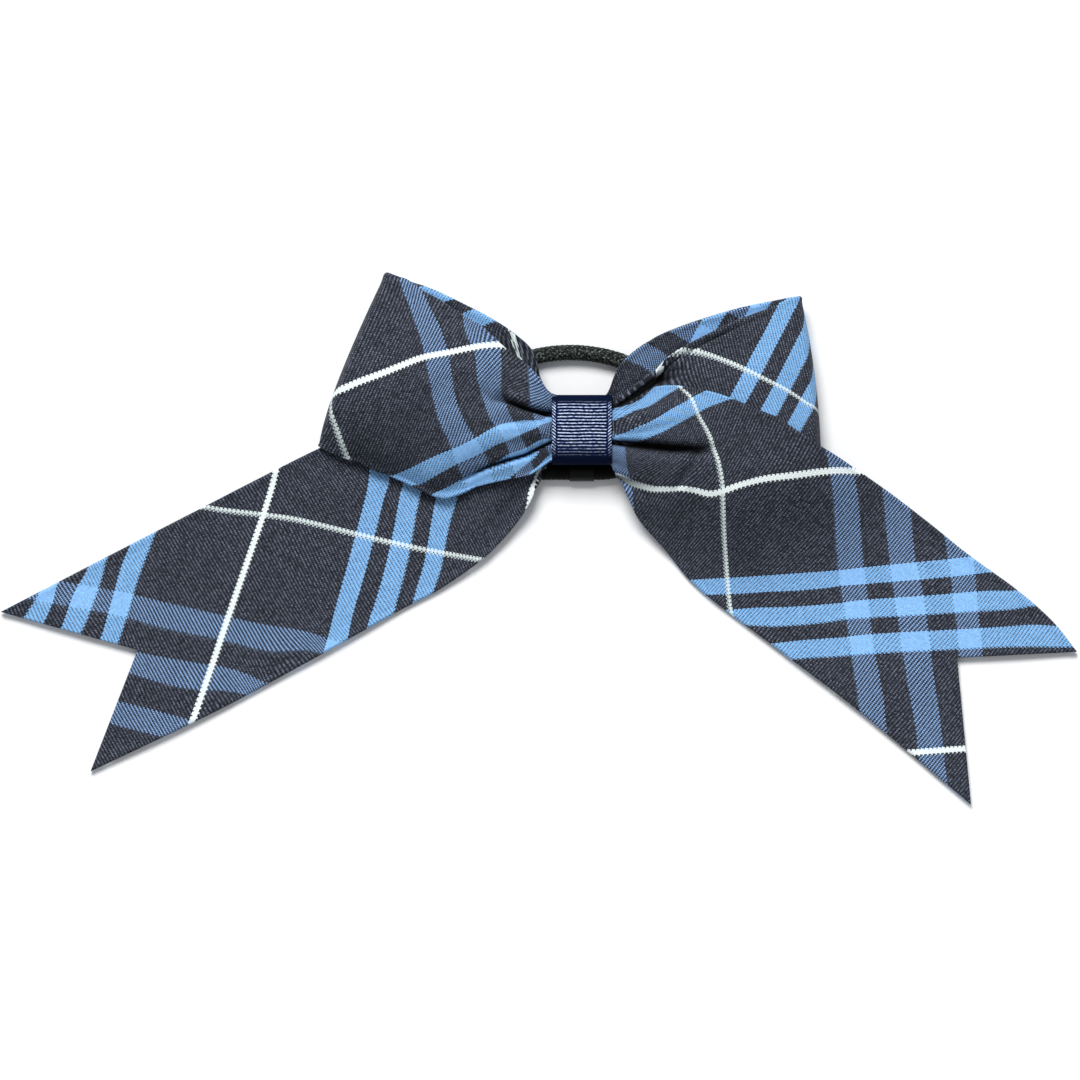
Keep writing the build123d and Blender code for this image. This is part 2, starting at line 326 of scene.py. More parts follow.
@dataclass(frozen=True)
class GrosgrainSatin:
    """Navy polyester grosgrain: filament ribs with painted highlights, painted shade in the grooves, and a
    twisted selvedge.
    """

    # The crest colour is a painted highlight on the ribs, and the groove colour is painted shade between
    # them
    crest: str = "D6E3FA"
    flank: str = "233F7C"
    groove: str = "020820"
    dye: str = "06102A"

    def build(self) -> Finish:
        """The ribbon's finish, whose ribs carry painted highlights in broken lines."""
        material, tree, shader = blank_material("woven_polyester_grosgrain")
        place = add_node(tree, "UVMap", uv_map=Ply.OUTER.value)
        # Noise breaks the painted rib highlights into short glints
        drawn = add_node(tree, "VectorMath", {0: place, 1: (0.9, 2.2, 1.0)}, operation="MULTIPLY")
        glint = add_node(tree, "TexNoise", {0: drawn, 2: 1.3, 3: 3.0}, noise_dimensions="2D")
        broken = add_node(tree, "MapRange", {0: glint, 1: 0.3, 2: 0.7, 3: -0.1, 4: 0.1})
        rib = add_node(tree, "Attribute", out="Fac", attribute_name="rib")
        rise = add_node(tree, "Math", {0: rib, 1: broken}, operation="ADD")
        # Painted light and shade: the rib relief picks groove, flank or crest colour, from dark shade to a
        # bright highlight
        filament = add_node(tree, "ValToRGB", {0: rise})
        ramp = filament.node.color_ramp
        middle = ramp.elements.new(0.87)
        middle.color = linear(self.flank)
        ramp.elements[0].position, ramp.elements[0].color = 0.68, linear(self.groove)
        ramp.elements[2].position, ramp.elements[2].color = 1.0, linear(self.crest)
        # Painted highlight: where this share is high, on the lit top of the turn, the ribs show their
        # painted bright colours; elsewhere the ribbon shows the dye's plain deep navy
        painted_highlight_share = add_node(tree, "Attribute", out="Fac", attribute_name="painted_highlight_share")
        colour = add_node(tree, "Mix", {0: painted_highlight_share, 6: linear(self.dye), 7: filament}, **IN_COLOUR)
        plug(tree, shader, {"Base Color": colour, "Roughness": 0.7, "Specular IOR Level": 0.03})
        return material


@dataclass(frozen=True)
class BraidedCover:
    """Black textured-nylon braid over the hair elastic, with paler yarn ends."""

    body: str = "0E1211"
    fleck: str = "8A9690"

    def build(self) -> Finish:
        """The cover's finish: dull black, with greenish grey flecks on the crests, and painted shade under
        the knot.
        """
        material, tree, shader = blank_material("braided_nylon_cover")
        place = add_node(tree, "TexCoord", out="Object")
        grain = add_node(tree, "TexNoise", {0: place, 2: 1900.0, 3: 2.0})
        lift = add_node(tree, "MapRange", {0: grain, 1: 0.5, 2: 0.72})
        # Painted shade: under the knot, towards -y, the cover is drawn near black without flecks
        forward = add_node(tree, "SeparateXYZ", {0: place}, out=1)
        outside_knot_shade = add_node(tree, "MapRange", {0: forward, 1: -8.5 * MM, 2: 1.0 * MM})
        for share in (add_node(tree, "Attribute", out="Fac", attribute_name="rib"), outside_knot_shade):
            lift = add_node(tree, "Math", {0: lift, 1: share}, operation="MULTIPLY")
        shaded_body = add_node(tree, "Mix", {0: outside_knot_shade, 6: linear("010101"), 7: linear(self.body)}, **IN_COLOUR)
        colour = add_node(tree, "Mix", {0: lift, 6: shaded_body, 7: linear(self.fleck)}, **IN_COLOUR)
        bump = add_node(tree, "Bump", {"Strength": 0.4, "Distance": 0.1 * MM, "Height": grain})
        plug(tree, shader, {"Base Color": colour, "Normal": bump})
        plug(tree, shader, {"Roughness": 0.7, "Specular IOR Level": 0.12})
        return material


@dataclass(frozen=True)
class PlainFinish:
    """A small part's finish: one dye or resin colour with fine grain from its making."""

    name: str
    dark: str
    light: str
    grain: float
    roughness: float
    ribbed: bool = False

    def build(self) -> Finish:
        """The finish, with its grain as colour and relief."""
        material, tree, shader = blank_material(self.name)
        place = add_node(tree, "TexCoord", out="Object")
        noise = add_node(tree, "TexNoise", {0: place, 2: self.grain, 3: 3.0})
        height = noise
        if self.ribbed:
            height = add_node(
                tree, "TexWave", {0: place, 1: self.grain, 2: 0.6}, out=1, bands_direction="Y"
            )
        share = add_node(tree, "Math", {0: noise, 1: height}, operation="MULTIPLY")
        tones = {0: share, 6: linear(self.dark), 7: linear(self.light)}
        colour = add_node(tree, "Mix", tones, **IN_COLOUR)
        bump = add_node(tree, "Bump", {"Strength": 0.3, "Distance": 0.1 * MM, "Height": height})
        plug(tree, shader, {"Base Color": colour, "Normal": bump})
        plug(tree, shader, {"Roughness": self.roughness, "Specular IOR Level": 0.15})
        return material


# Shaped grids


def shaped_grid(name: str, place: Grid) -> tuple[Piece, Grid, Grid]:
    """Shape Blender's grid primitive to given places.

    Args:
        name: the piece's name.
        place: grid of points in millimetres.

    Returns:
        The object, and each vertex's row and column in the grid.
    """
    rows, columns = place.shape[:2]
    bpy.ops.object.select_all(action="DESELECT")
    bpy.ops.mesh.primitive_grid_add(x_subdivisions=rows - 1, y_subdivisions=columns - 1, size=2)
    piece = bpy.context.object
    piece.name = name
    mesh = piece.data
    flat = np.zeros(len(mesh.vertices) * 3)
    mesh.vertices.foreach_get("co", flat)
    flat = flat.reshape(-1, 3)
    row = np.rint((flat[:, 0] + 1) / 2 * (rows - 1)).astype(int)
    column = np.rint((flat[:, 1] + 1) / 2 * (columns - 1)).astype(int)
    mesh.vertices.foreach_set("co", (place[row, column] * MM).ravel())
    mesh.update()
    bpy.ops.object.shade_smooth()
    return piece, row, column


def add_threads(piece: Piece, layers: dict[Ply, Grid]) -> None:
    """Give a piece its thread coordinates, one row per vertex, as its only UV layers."""
    mesh = piece.data
    corner = np.zeros(len(mesh.loops), int)
    mesh.loops.foreach_get("vertex_index", corner)
    while mesh.uv_layers:
        mesh.uv_layers.remove(mesh.uv_layers[0])
    for ply, threads in layers.items():
        mesh.uv_layers.new(name=ply.value).data.foreach_set("uv", threads[corner].ravel())


def add_share(piece: Piece, name: str, values: Grid) -> None:
    """Keep one value from 0 to 1 for each vertex, for the finish to read."""
    kept = piece.data.attributes.new(name, "FLOAT", "POINT")
    kept.data.foreach_set("value", values.astype(np.float32))


def thicken(piece: Piece, thickness: float, **settings) -> None:
    """Give the active sheet its thickness in millimetres, as a closed solid."""
    wall = piece.modifiers.new("wall", "SOLIDIFY")
    wall.thickness = thickness * MM
    for name, value in settings.items():
        setattr(wall, name, value)
    bpy.ops.object.modifier_apply(modifier=wall.name)


def edit_whole(*steps: Callable) -> None:
    """Run mesh operators on all of the active piece."""
    bpy.ops.object.mode_set(mode="EDIT")
    bpy.ops.mesh.select_all(action="SELECT")
    for step in steps:
        step()
    bpy.ops.object.mode_set(mode="OBJECT")


def turn_face_up(piece: Piece, chosen: Grid) -> None:
    """Flip the piece's faces if they look down at the chosen vertices."""
    normals = np.zeros(len(piece.data.vertices) * 3)
    piece.data.vertices.foreach_get("normal", normals)
    if normals.reshape(-1, 3)[chosen, 2].mean() < 0:
        edit_whole(bpy.ops.mesh.flip_normals)


# The cloth's shape

KNOT_HALF = 7.9
THROAT_SLOPE = 1.3
FLOOR_ROUND = 0.25
LEVEL_SLACK = 1e-3
THREAD_SLACK = 2e-5


class PlanField:
    """A smooth quantity over the plan that passes through measured values (a thin plate)."""

    def __init__(self, marks: Sequence[Mark], slack: float = 0.0) -> None:
        """Fit the plate.

        Args:
            marks: plan points in millimetres, each with its value.
            slack: how far the plate may leave the values, to stay smooth.
        """
        rows = np.array(marks, float)
        self.points = rows[:, :2] / 50
        count = len(rows)
        bend = self.kernel(self.points) + slack * np.eye(count)
        plane = np.hstack([np.ones((count, 1)), self.points])
        system = np.block([[bend, plane], [plane.T, np.zeros((3, 3))]])
        solved = np.linalg.solve(system, np.concatenate([rows[:, 2], np.zeros(3)]))
        self.weights = solved[:count]
        self.plane = solved[count:]

    def kernel(self, places: Grid) -> Grid:
        """The plate's bending response between places and the marks."""
        gap = np.linalg.norm(places[:, None] - self.points[None], axis=2)
        return np.where(gap > 1e-9, gap**2 * np.log(np.maximum(gap, 1e-9)), 0.0)

    def at(self, x: Grid, y: Grid) -> Grid:
        """The quantity at plan points in millimetres."""
        places = np.stack([x.ravel(), y.ravel()], axis=1) / 50
        flat = self.kernel(places) @ self.weights + self.plane[0] + places @ self.plane[1:]
        return flat.reshape(x.shape)


@dataclass(frozen=True)
class Crease:
    """A fold line in the cloth: plan points with depth and width, in millimetres.

    A negative depth is a ridge. The width is the reach to the left of the line's run, and
    ``right`` scales it on the other side, so a low value makes a steep wall there.
    """

    run: tuple[tuple[float, float, float, float], ...]
    right: float = 1.0

    def drop(self, x: Grid, y: Grid) -> Grid:
        """How far the crease lowers the cloth at plan points."""
        best = np.full(x.shape, np.inf)
        result = np.zeros(x.shape)
        for (ax, ay, ad, aw), (bx, by, bd, bw) in zip(self.run, self.run[1:]):
            span = (bx - ax) ** 2 + (by - ay) ** 2
            share = np.clip(((x - ax) * (bx - ax) + (y - ay) * (by - ay)) / span, 0, 1)
            off_x = x - ax - share * (bx - ax)
            off_y = y - ay - share * (by - ay)
            gap = np.hypot(off_x, off_y)
            side = (bx - ax) * (y - ay) - (by - ay) * (x - ax)
            width = (aw + share * (bw - aw)) * np.where(side >= 0, 1.0, self.right)
            depth = ad + share * (bd - ad)
            wall = np.clip((gap / width - 0.3) / 0.9, 0, 1)
            value = depth * (1 - wall**2 * (3 - 2 * wall))
            nearer = gap < best
            result = np.where(nearer, value, result)
            best = np.minimum(best, gap)
        return result


def painted_crease_shade(creases: Sequence[Crease], x: Grid, y: Grid) -> Grid:
    """How deep in a crease each plan point lies, from 0 to 1, as the strength of the painted crease shade.
    """
    depth = sum((np.maximum(crease.drop(x, y), 0) for crease in creases), np.zeros(x.shape))
    return np.clip((depth - 0.9) / 1.9, 0, 1)


def smooth_line(points: Sequence[tuple[float, ...]], share: Grid) -> Grid:
    """Read a rounded line through points at shares of its length.

    Args:
        points: the line's points, in millimetres.
        share: places from 0 to 1 along it.

    Returns:
        One row for each place.
    """
    dots = np.array(points, float)
    padded = np.vstack([2 * dots[0] - dots[1], dots, 2 * dots[-1] - dots[-2]])
    fine = []
    for a, b, c, d in zip(padded, padded[1:], padded[2:], padded[3:]):
        t = np.linspace(0, 1, 24, endpoint=False)[:, None]
        fine.append(
            b
            + 0.5 * t * (c - a)
            + t**2 * (a - 2.5 * b + 2 * c - 0.5 * d)
            + t**3 * (-0.5 * a + 1.5 * b - 1.5 * c + 0.5 * d)
        )
    line = np.vstack([*fine, dots[-1:]])
    length = np.concatenate([[0], np.cumsum(np.linalg.norm(np.diff(line, axis=0), axis=1))])
    want = share * length[-1]
    return np.stack([np.interp(want, length, column) for column in line.T], axis=-1)


@dataclass(frozen=True)
class Layer:
    """One visible layer of the strip: its lower edge, middle and upper edge, and its levels."""

    lower: tuple[Point, ...]
    middle: tuple[Point, ...]
    upper: tuple[Point, ...]
    levels: tuple[Mark, ...]
    creases: tuple[Crease, ...] = ()
    floor: float = 0.95
    throat: float = 10.6
    straight: bool = False

    def plan(self, share: Grid, across: Grid) -> tuple[Grid, Grid]:
        """Plan points of a grid.

        Args:
            share: places along the strip, from the knot to its end.
            across: places from the lower edge to the upper edge.

        Returns:
            x and y, one row for each place along and one column for each place across.
        """
        rails = [smooth_line(rail, share) for rail in (self.lower, self.middle, self.upper)]
        v = across[None, :, None]
        low, mid, high = (rail[:, None, :] for rail in rails)
        kinked = np.where(v < 0.5, low + (mid - low) * 2 * v, mid + (high - mid) * (2 * v - 1))
        curved = low * (1 - v) * (1 - 2 * v) + mid * 4 * v * (1 - v) + high * v * (2 * v - 1)
        place = kinked if self.straight else curved
        if self.straight:
            blend = np.clip((0.75 - share) / 0.5, 0, 1)[:, None, None]
            place = kinked + (curved - kinked) * blend
        return place[..., 0], place[..., 1]

    def height(self, x: Grid, y: Grid) -> Grid:
        """The layer's middle surface over plan points, kept above what it lies on."""
        z = PlanField(self.levels, LEVEL_SLACK).at(x, y)
        for crease in self.creases:
            z = z - crease.drop(x, y)
        # Rounded off where it comes down to what it lies on, and held down by the ribbon
        lift = z - self.floor
        z = self.floor + (lift + np.hypot(lift, FLOOR_ROUND)) / 2
        past_knot = np.maximum(0.0, np.abs(x) - KNOT_HALF)
        return np.minimum(z, self.throat + THROAT_SLOPE * past_knot)


# Distances in from the strip's edge, in millimetres, and the cloth's relative thickness there:
# thicker in the rolled hem, round at its edge
HEM_STEPS = (0, 0.12, 0.3, 0.6, 1.0, 1.5, 2.1, 2.8)
HEM_THICKNESS = (0.3, 0.62, 0.85, 1.0, 0.95, 0.8, 0.7, 0.66)


def across_steps(width: float, step: float) -> Grid:
    """Places across the strip from 0 to 1, close together in the rolled hems."""
    hem = np.array(HEM_STEPS)
    count = int((width - 2 * hem[-1]) / step)
    inside = np.linspace(hem[-1], width - hem[-1], count)
    return np.concatenate([hem[:-1], inside, width - hem[:-1][::-1]]) / width


@dataclass
class ClothMaker:
    """Turns a grid of places into one closed, hemmed, two-ply piece of plaid cloth."""

    outer: Finish
    inner: Finish
    thickness: float = 1.75

    def make(
        self,
        name: str,
        place: Grid,
        plies: dict[Ply, Grid],
        across: Grid,
        crease_shade: Grid,
    ) -> Piece:
        """Build the piece.

        Args:
            name: the piece's name.
            place: grid of points in millimetres, along, across and xyz.
            plies: thread coordinates in millimetres for each ply, on the same grid.
            across: millimetres from the strip's lower edge to each column.
            crease_shade: painted crease shade on the same grid, from 0 to 1, by how deep in a crease each
                point lies, kept as the attribute fold.

        Returns:
            The finished object.
        """
        piece, row, column = shaped_grid(name, place)
        add_threads(piece, {ply: threads[row, column] for ply, threads in plies.items()})
        # The attribute fold carries the painted crease shade for the finish
        add_share(piece, "fold", crease_shade[row, column])
        group = piece.vertex_groups.new(name="thickness")
        inward = np.minimum(across, across[-1] - across)
        for number, share in enumerate(np.interp(inward, HEM_STEPS, HEM_THICKNESS)):
            group.add([int(i) for i in np.nonzero(column == number)[0]], float(share), "REPLACE")
        turn_face_up(piece, row < len(place) // 4)
        piece.data.materials.append(self.outer)
        piece.data.materials.append(self.inner)
        ply_slots = {"material_offset": 1, "material_offset_rim": 0}
        thicken(piece, self.thickness, offset=0, vertex_group="thickness", **ply_slots)
        log.info("%s: %d faces", name, len(piece.data.polygons))
        return piece


def on(line: float, *points: Point) -> tuple[Mark, ...]:
    """Marks at plan points that all lie on one known line of the cloth."""
    return tuple((x, y, line) for x, y in points)


@dataclass(frozen=True)
class Weave:
    """Where the plaid's yarns lie on a layer: plan points on known lines of the cloth.

    Each mark is a plan point and its line's place in the repeat, in millimetres of cloth.
    """

    crosswise: tuple[Mark, ...]
    lengthwise: tuple[Mark, ...]

    def threads(self, x: Grid, y: Grid) -> Grid:
        """Thread coordinates in millimetres over plan points."""
        fields = [PlanField(marks, THREAD_SLACK) for marks in (self.crosswise, self.lengthwise)]
        return np.stack([field.at(x, y) for field in fields], axis=-1)


@dataclass(kw_only=True)
class PlaidLength:
    """One length of the plaid strip that leaves the knot, with what is known of it."""

    name: str
    node: str
    bodies: tuple[str, str]
    blend_span: tuple[Mark, Mark]
    weave: Weave
    flat_length: float
    rests_on: tuple[str, ...]
    width: float = 50.0

    def hand_over(self, piece: Piece, **more) -> None:
        """Hide the node that the piece stands for, bake the piece's place into its mesh and log it."""
        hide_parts(self.node)
        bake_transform(piece)
        log.info("%s stands for %s", piece.name, self.node)


@dataclass(kw_only=True)
class Tail(PlaidLength):
    """A tail: one layer of the strip from the knot to its swallowtail cut."""

    layer: Layer
    notch_depth: float
    row_step: float = 0.85
    column_step: float = 0.8
    ripple: float = 0.25
    flat_reach: float = 45.0

    def build(self, maker: ClothMaker) -> None:
        """Make the tail, dress it and hand it to the frame."""
        share = np.linspace(0, 1, int(self.flat_length / self.row_step))
        across = across_steps(self.width, self.column_step)
        x, y = self.layer.plan(share, across)
        z = self.layer.height(x, y)
        # The free end lies in long, shallow ripples
        reach = np.clip((np.hypot(x, y) - self.flat_reach) / 30, 0, 1)
        z = z + self.ripple * reach * (1.2 + np.sin(x / 9.5 + y / 14) + 0.7 * np.sin(y / 8 - x / 19 + 1))
        threads = self.weave.threads(x, y)
        plies = {Ply.OUTER: threads, Ply.INNER: threads + np.array([31.0, 17.0])}
        # Painted crease shade, from the creases' depth
        crease_shade = painted_crease_shade(self.layer.creases, x, y)
        piece = maker.make(self.name, np.stack([x, y, z], axis=-1), plies, across * self.width, crease_shade)
        area = (self.width * self.flat_length - self.width * self.notch_depth / 2) * MM**2
        self.hand_over(piece, area=area)


@dataclass(kw_only=True)
class Loop(PlaidLength):
    """A loop: the strip's front layer, its fold and the back layer that shows behind it."""

    front: Layer
    back: Layer
    inner_weave: Weave
    outward: Point
    bulge: float = 2.6
    hollow: float = 1.5
    front_rows: int = 105
    back_rows: int = 70
    fold_steps: int = 18
    column_step: float = 0.62

    def side(self, layer: Layer, rows: int, across: Grid) -> tuple[Grid, Grid]:
        """Plan points of one side of the loop, drawn in at its end to leave room for the fold."""
        share = np.linspace(0, 1, rows)
        x, y = layer.plan(share, across)
        lean = self.bulge * share[:, None] ** 8
        return x - lean * self.outward[0], y - lean * self.outward[1]

    def build(self, maker: ClothMaker) -> None:
        """Make the loop, dress it and hand it to the frame."""
        across = across_steps(self.width, self.column_step)
        fx, fy = self.side(self.front, self.front_rows, across)
        fz = np.maximum(self.front.height(fx, fy), self.back.height(fx, fy) + self.hollow)
        bx, by = self.side(self.back, self.back_rows, across)
        bz = self.back.height(bx, by)
        turn = np.radians(np.linspace(90, -90, self.fold_steps))[1:-1, None]
        passed = (1 - np.sin(turn)) / 2
        rx = fx[-1] + passed * (bx[-1] - fx[-1]) + self.bulge * np.cos(turn) * self.outward[0]
        ry = fy[-1] + passed * (by[-1] - fy[-1]) + self.bulge * np.cos(turn) * self.outward[1]
        rz = (fz[-1] + bz[-1]) / 2 + np.sin(turn) * (fz[-1] - bz[-1]) / 2
        place = np.stack(
            [np.vstack([fx, rx, bx[::-1]]), np.vstack([fy, ry, by[::-1]]), np.vstack([fz, rz, bz[::-1]])],
            axis=-1,
        )
        x, y = place[..., 0], place[..., 1]
        past = np.linalg.norm(np.diff(place, axis=0), axis=-1)
        past = np.vstack([np.zeros((1, len(across))), np.cumsum(past, axis=0)])
        past = np.maximum(past - past[self.front_rows - 1], 0)
        inner = self.inner_weave.threads(x, y)
        plies = {Ply.OUTER: self.outer_threads(x, y, past), Ply.INNER: inner}
        # Painted crease shade on the front layer only, none past its end
        crease_shade = np.where(past > 0, 0, painted_crease_shade(self.front.creases, x, y))
        self.hand_over(maker.make(self.name, place, plies, across * self.width, crease_shade))

    def outer_threads(self, x: Grid, y: Grid, past: Grid) -> Grid:
        """Thread coordinates of the outer ply, carried on round the fold as the strip runs.

        Args:
            x: plan x of the grid.
            y: plan y of the grid.
            past: cloth length past the front layer's end.

        Returns:
            Thread coordinates in millimetres.
        """
        step = 4.0
        edge_x, edge_y = x[self.front_rows - 1], y[self.front_rows - 1]
        edge = self.weave.threads(edge_x, edge_y)
        before = self.weave.threads(edge_x - step * self.outward[0], edge_y - step * self.outward[1])
        slope = (edge - before).mean(axis=0) / step
        carried = edge[None] + past[..., None] * slope
        return np.where(past[..., None] > 0, carried, self.weave.threads(x, y))


# The knot's ribbon and the hair elastic


@dataclass
class KnotWrap:
    """The grosgrain ribbon: a glued end, one turn round the knot and its lap under the back."""

    width: float = 15.9
    thickness: float = 0.5
    rib_pitch: float = 0.85
    rib_height: float = 0.2
    selvedge: float = 1.15
    corner: float = 4.5
    crown: float = 0.35
    wall: float = 0.32

    def path(self) -> Grid:
        """The ribbon's outer line round the knot, from its glued end, as y and z."""
        high = np.array(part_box("knot_ribbon")[1]) / MM
        half = high[1]
        bottom = 2 * self.thickness
        inner = half - self.corner
        line = [(-5.0, 0.02), (inner - 0.6, 0.02)]
        centres = (
            (inner, bottom + self.corner, -58, 0),
            (inner, high[2] - self.corner, 0, 90),
            (-inner, high[2] - self.corner, 90, 180),
            (-inner, bottom + self.corner, 180, 270),
        )
        for cy, cz, start, end in centres:
            for angle in np.radians(np.linspace(start, end, 12)):
                line.append((cy + self.corner * math.cos(angle), cz + self.corner * math.sin(angle)))
        line.append((inner - 0.4, bottom + 0.02))
        return np.array(line)

    def build(self, material: Finish) -> Piece:
        """Make the ribbon with its ribs and twisted selvedges."""
        line = self.path()
        run = np.concatenate([[0], np.cumsum(np.hypot(*np.diff(line, axis=0).T))])
        along = np.linspace(0, run[-1], int(run[-1] / self.rib_pitch * 7))
        y = np.interp(along, run, line[:, 0])
        z = np.interp(along, run, line[:, 1])
        for _ in range(2):
            y[1:-1] = (y[:-2] + 2 * y[1:-1] + y[2:]) / 4
            z[1:-1] = (z[:-2] + 2 * z[1:-1] + z[2:]) / 4
        half = self.width / 2
        inside = half - self.selvedge
        edge = np.linspace(inside, half, 9)
        x = np.concatenate([-edge[::-1], np.linspace(-inside, inside, 26)[1:-1], edge])
        relief = self.relief(x, along, inside)
        slope_y, slope_z = np.gradient(y), np.gradient(z)
        size = np.hypot(slope_y, slope_z)
        lift = self.rib_height * (relief - 1)
        bow = self.crown * (0.7 - (x / half) ** 2)[None] * np.clip((z - 8) / 4, 0, 1)[:, None]
        place = np.empty((len(along), len(x), 3))
        place[..., 0] = x[None]
        place[..., 1] = y[:, None] + (slope_z / size)[:, None] * lift
        place[..., 2] = z[:, None] - (slope_y / size)[:, None] * lift + bow
        piece, row, column = shaped_grid("grosgrain_wrap", place)
        add_threads(piece, {Ply.OUTER: np.stack([x[column], along[row]], axis=-1)})
        add_share(piece, "rib", relief[row, column])
        # Share of painted highlight: the top of the turn, fading towards its lower side, away from the
        # light, and near its upper edge
        painted_highlight_share = np.clip((z - 11.2) / 1.0, 0, 1) ** 1.2 * np.clip((7.4 + y) / 5.4, 0, 1)
        add_share(piece, "painted_highlight_share", (painted_highlight_share * np.clip((8.0 - y) / 1.3, 0, 1))[row])
        turn_face_up(piece, z[row] > 12)
        thicken(piece, self.wall, offset=-1)
        piece.data.materials.append(material)
        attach(piece, "knot")
        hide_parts("knot_ribbon")
        log.info("%s: %d faces", piece.name, len(piece.data.polygons))
        return piece

    def relief(self, x: Grid, along: Grid, inside: float) -> Grid:
        """The ribbon's surface relief.

        Args:
            x: places across, in millimetres from the middle.
            along: places along the ribbon.
            inside: where the selvedge starts.

        Returns:
            Grid of relief from 0 in a groove to 1 on a crest.
        """
        wander = 0.06 * np.sin(x / 1.7)[None] * np.sin(along / 2.3)[:, None]
        rib = np.abs(np.cos(math.pi * (along[:, None] + wander) / self.rib_pitch)) ** 0.8
        slant = along[:, None] + 0.9 * np.abs(x)[None]
        twist = np.abs(np.cos(math.pi * slant / self.rib_pitch)) ** 0.7
        past = (np.abs(x) > inside + 0.04 * self.selvedge)[None]
        seam = np.exp(-(((np.abs(x) - inside) / 0.12) ** 2))[None]
        outer = np.where(np.abs(x) > inside + 0.9 * self.selvedge, 0.72, 1.0)[None]
        return np.where(past, 0.35 + 0.65 * twist, rib) * (1 - 0.2 * seam) * outer


@dataclass
class HairElastic:
    """The closed elastic loop behind the knot, with its braided cover."""

    radius: float = 2.1
    top_radius: float = 42.0
    flat_half: float = 8.0
    shift: float = -3.0
    strand_y: float = -11.18
    strand_z: float = 2.5
    top_y: float = 20.6
    braid_pitch: float = 2.6
    carriers: int = 9
    braid_height: float = 0.16
    rows: int = 640
    sides: int = 57

    def centre_line(self) -> Grid:
        """The ring's centre line, as a closed run of points."""
        height = self.top_y - self.strand_y
        side = (self.top_radius**2 - self.flat_half**2 - (self.top_radius - height) ** 2) / (
            2 * (2 * self.top_radius - height)
        )
        top = height - self.top_radius
        reach = self.top_radius / (self.top_radius - side)
        shoulder = (self.flat_half * reach, top + (side - top) * reach)
        low = math.degrees(math.atan2(shoulder[1] - side, shoulder[0] - self.flat_half))
        right = [
            (self.flat_half + side * math.cos(a), side + side * math.sin(a))
            for a in np.radians(np.linspace(-90, low, 70))
        ]
        lean = math.degrees(math.atan2(shoulder[1] - top, shoulder[0]))
        crown = [
            (self.top_radius * math.cos(a), top + self.top_radius * math.sin(a))
            for a in np.radians(np.linspace(lean, 180 - lean, 60))[1:-1]
        ]
        left = [(-x, y) for x, y in right[::-1]]
        flat = [(t, 0.0) for t in np.linspace(-self.flat_half, self.flat_half, 24)[1:-1]]
        ring = np.array([*right, *crown, *left, *flat])
        tilt = math.asin((self.strand_z - self.radius - 0.02) / height)
        line = np.empty((len(ring), 3))
        line[:, 0] = ring[:, 0] + self.shift
        line[:, 1] = self.strand_y + ring[:, 1] * math.cos(tilt)
        line[:, 2] = self.strand_z - ring[:, 1] * math.sin(tilt)
        return line

    def build(self, material: Finish) -> Piece:
        """Make the braided ring."""
        line = self.centre_line()
        closed = np.vstack([line, line[:1]])
        run = np.concatenate([[0], np.cumsum(np.linalg.norm(np.diff(closed, axis=0), axis=1))])
        along = np.linspace(0, run[-1], self.rows + 1)
        centre = np.stack([np.interp(along, run, column) for column in closed.T], axis=-1)
        heading = np.roll(centre[:-1], -1, axis=0) - np.roll(centre[:-1], 1, axis=0)
        heading = np.vstack([heading, heading[:1]])
        heading /= np.linalg.norm(heading, axis=1)[:, None]
        up = np.array([0.0, 0.0, 1.0])
        side = np.cross(heading, up)
        side /= np.linalg.norm(side, axis=1)[:, None]
        lift = np.cross(side, heading)
        angle = np.linspace(0, 2 * math.pi, self.sides)
        turns = round(run[-1] / self.braid_pitch)
        phase = (along / run[-1] * turns * 2 * math.pi)[:, None]
        braid = np.abs(np.sin(phase + self.carriers * angle[None] / 2)) * np.abs(
            np.sin(phase - self.carriers * angle[None] / 2)
        )
        over = braid**0.6
        radius = self.radius - self.braid_height + self.braid_height * over
        place = (
            centre[:, None]
            + side[:, None] * (radius * np.cos(angle)[None])[..., None]
            + lift[:, None] * (radius * np.sin(angle)[None])[..., None]
        )
        piece, row, column = shaped_grid("braided_hair_elastic", place)
        add_share(piece, "rib", over[row, column])
        edit_whole(
            partial(bpy.ops.mesh.remove_doubles, threshold=0.002 * MM),
            partial(bpy.ops.mesh.normals_make_consistent, inside=False),
        )
        piece.data.materials.append(material)
        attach(piece, "hair_elastic")
        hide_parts("elastic_sheath")
        log.info("%s: %d faces", piece.name, len(piece.data.polygons))
        return piece


@dataclass
class SmallParts:
    """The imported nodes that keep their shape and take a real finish."""

    finishes: dict[str, Finish]

    def dress(self) -> None:
        """Put each finish on its nodes."""
        for name, material in self.finishes.items():
            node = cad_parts[name]
            node.data.materials.clear()
            node.data.materials.append(material)
            log.info("%s: %s", name, material.name)


# The studio


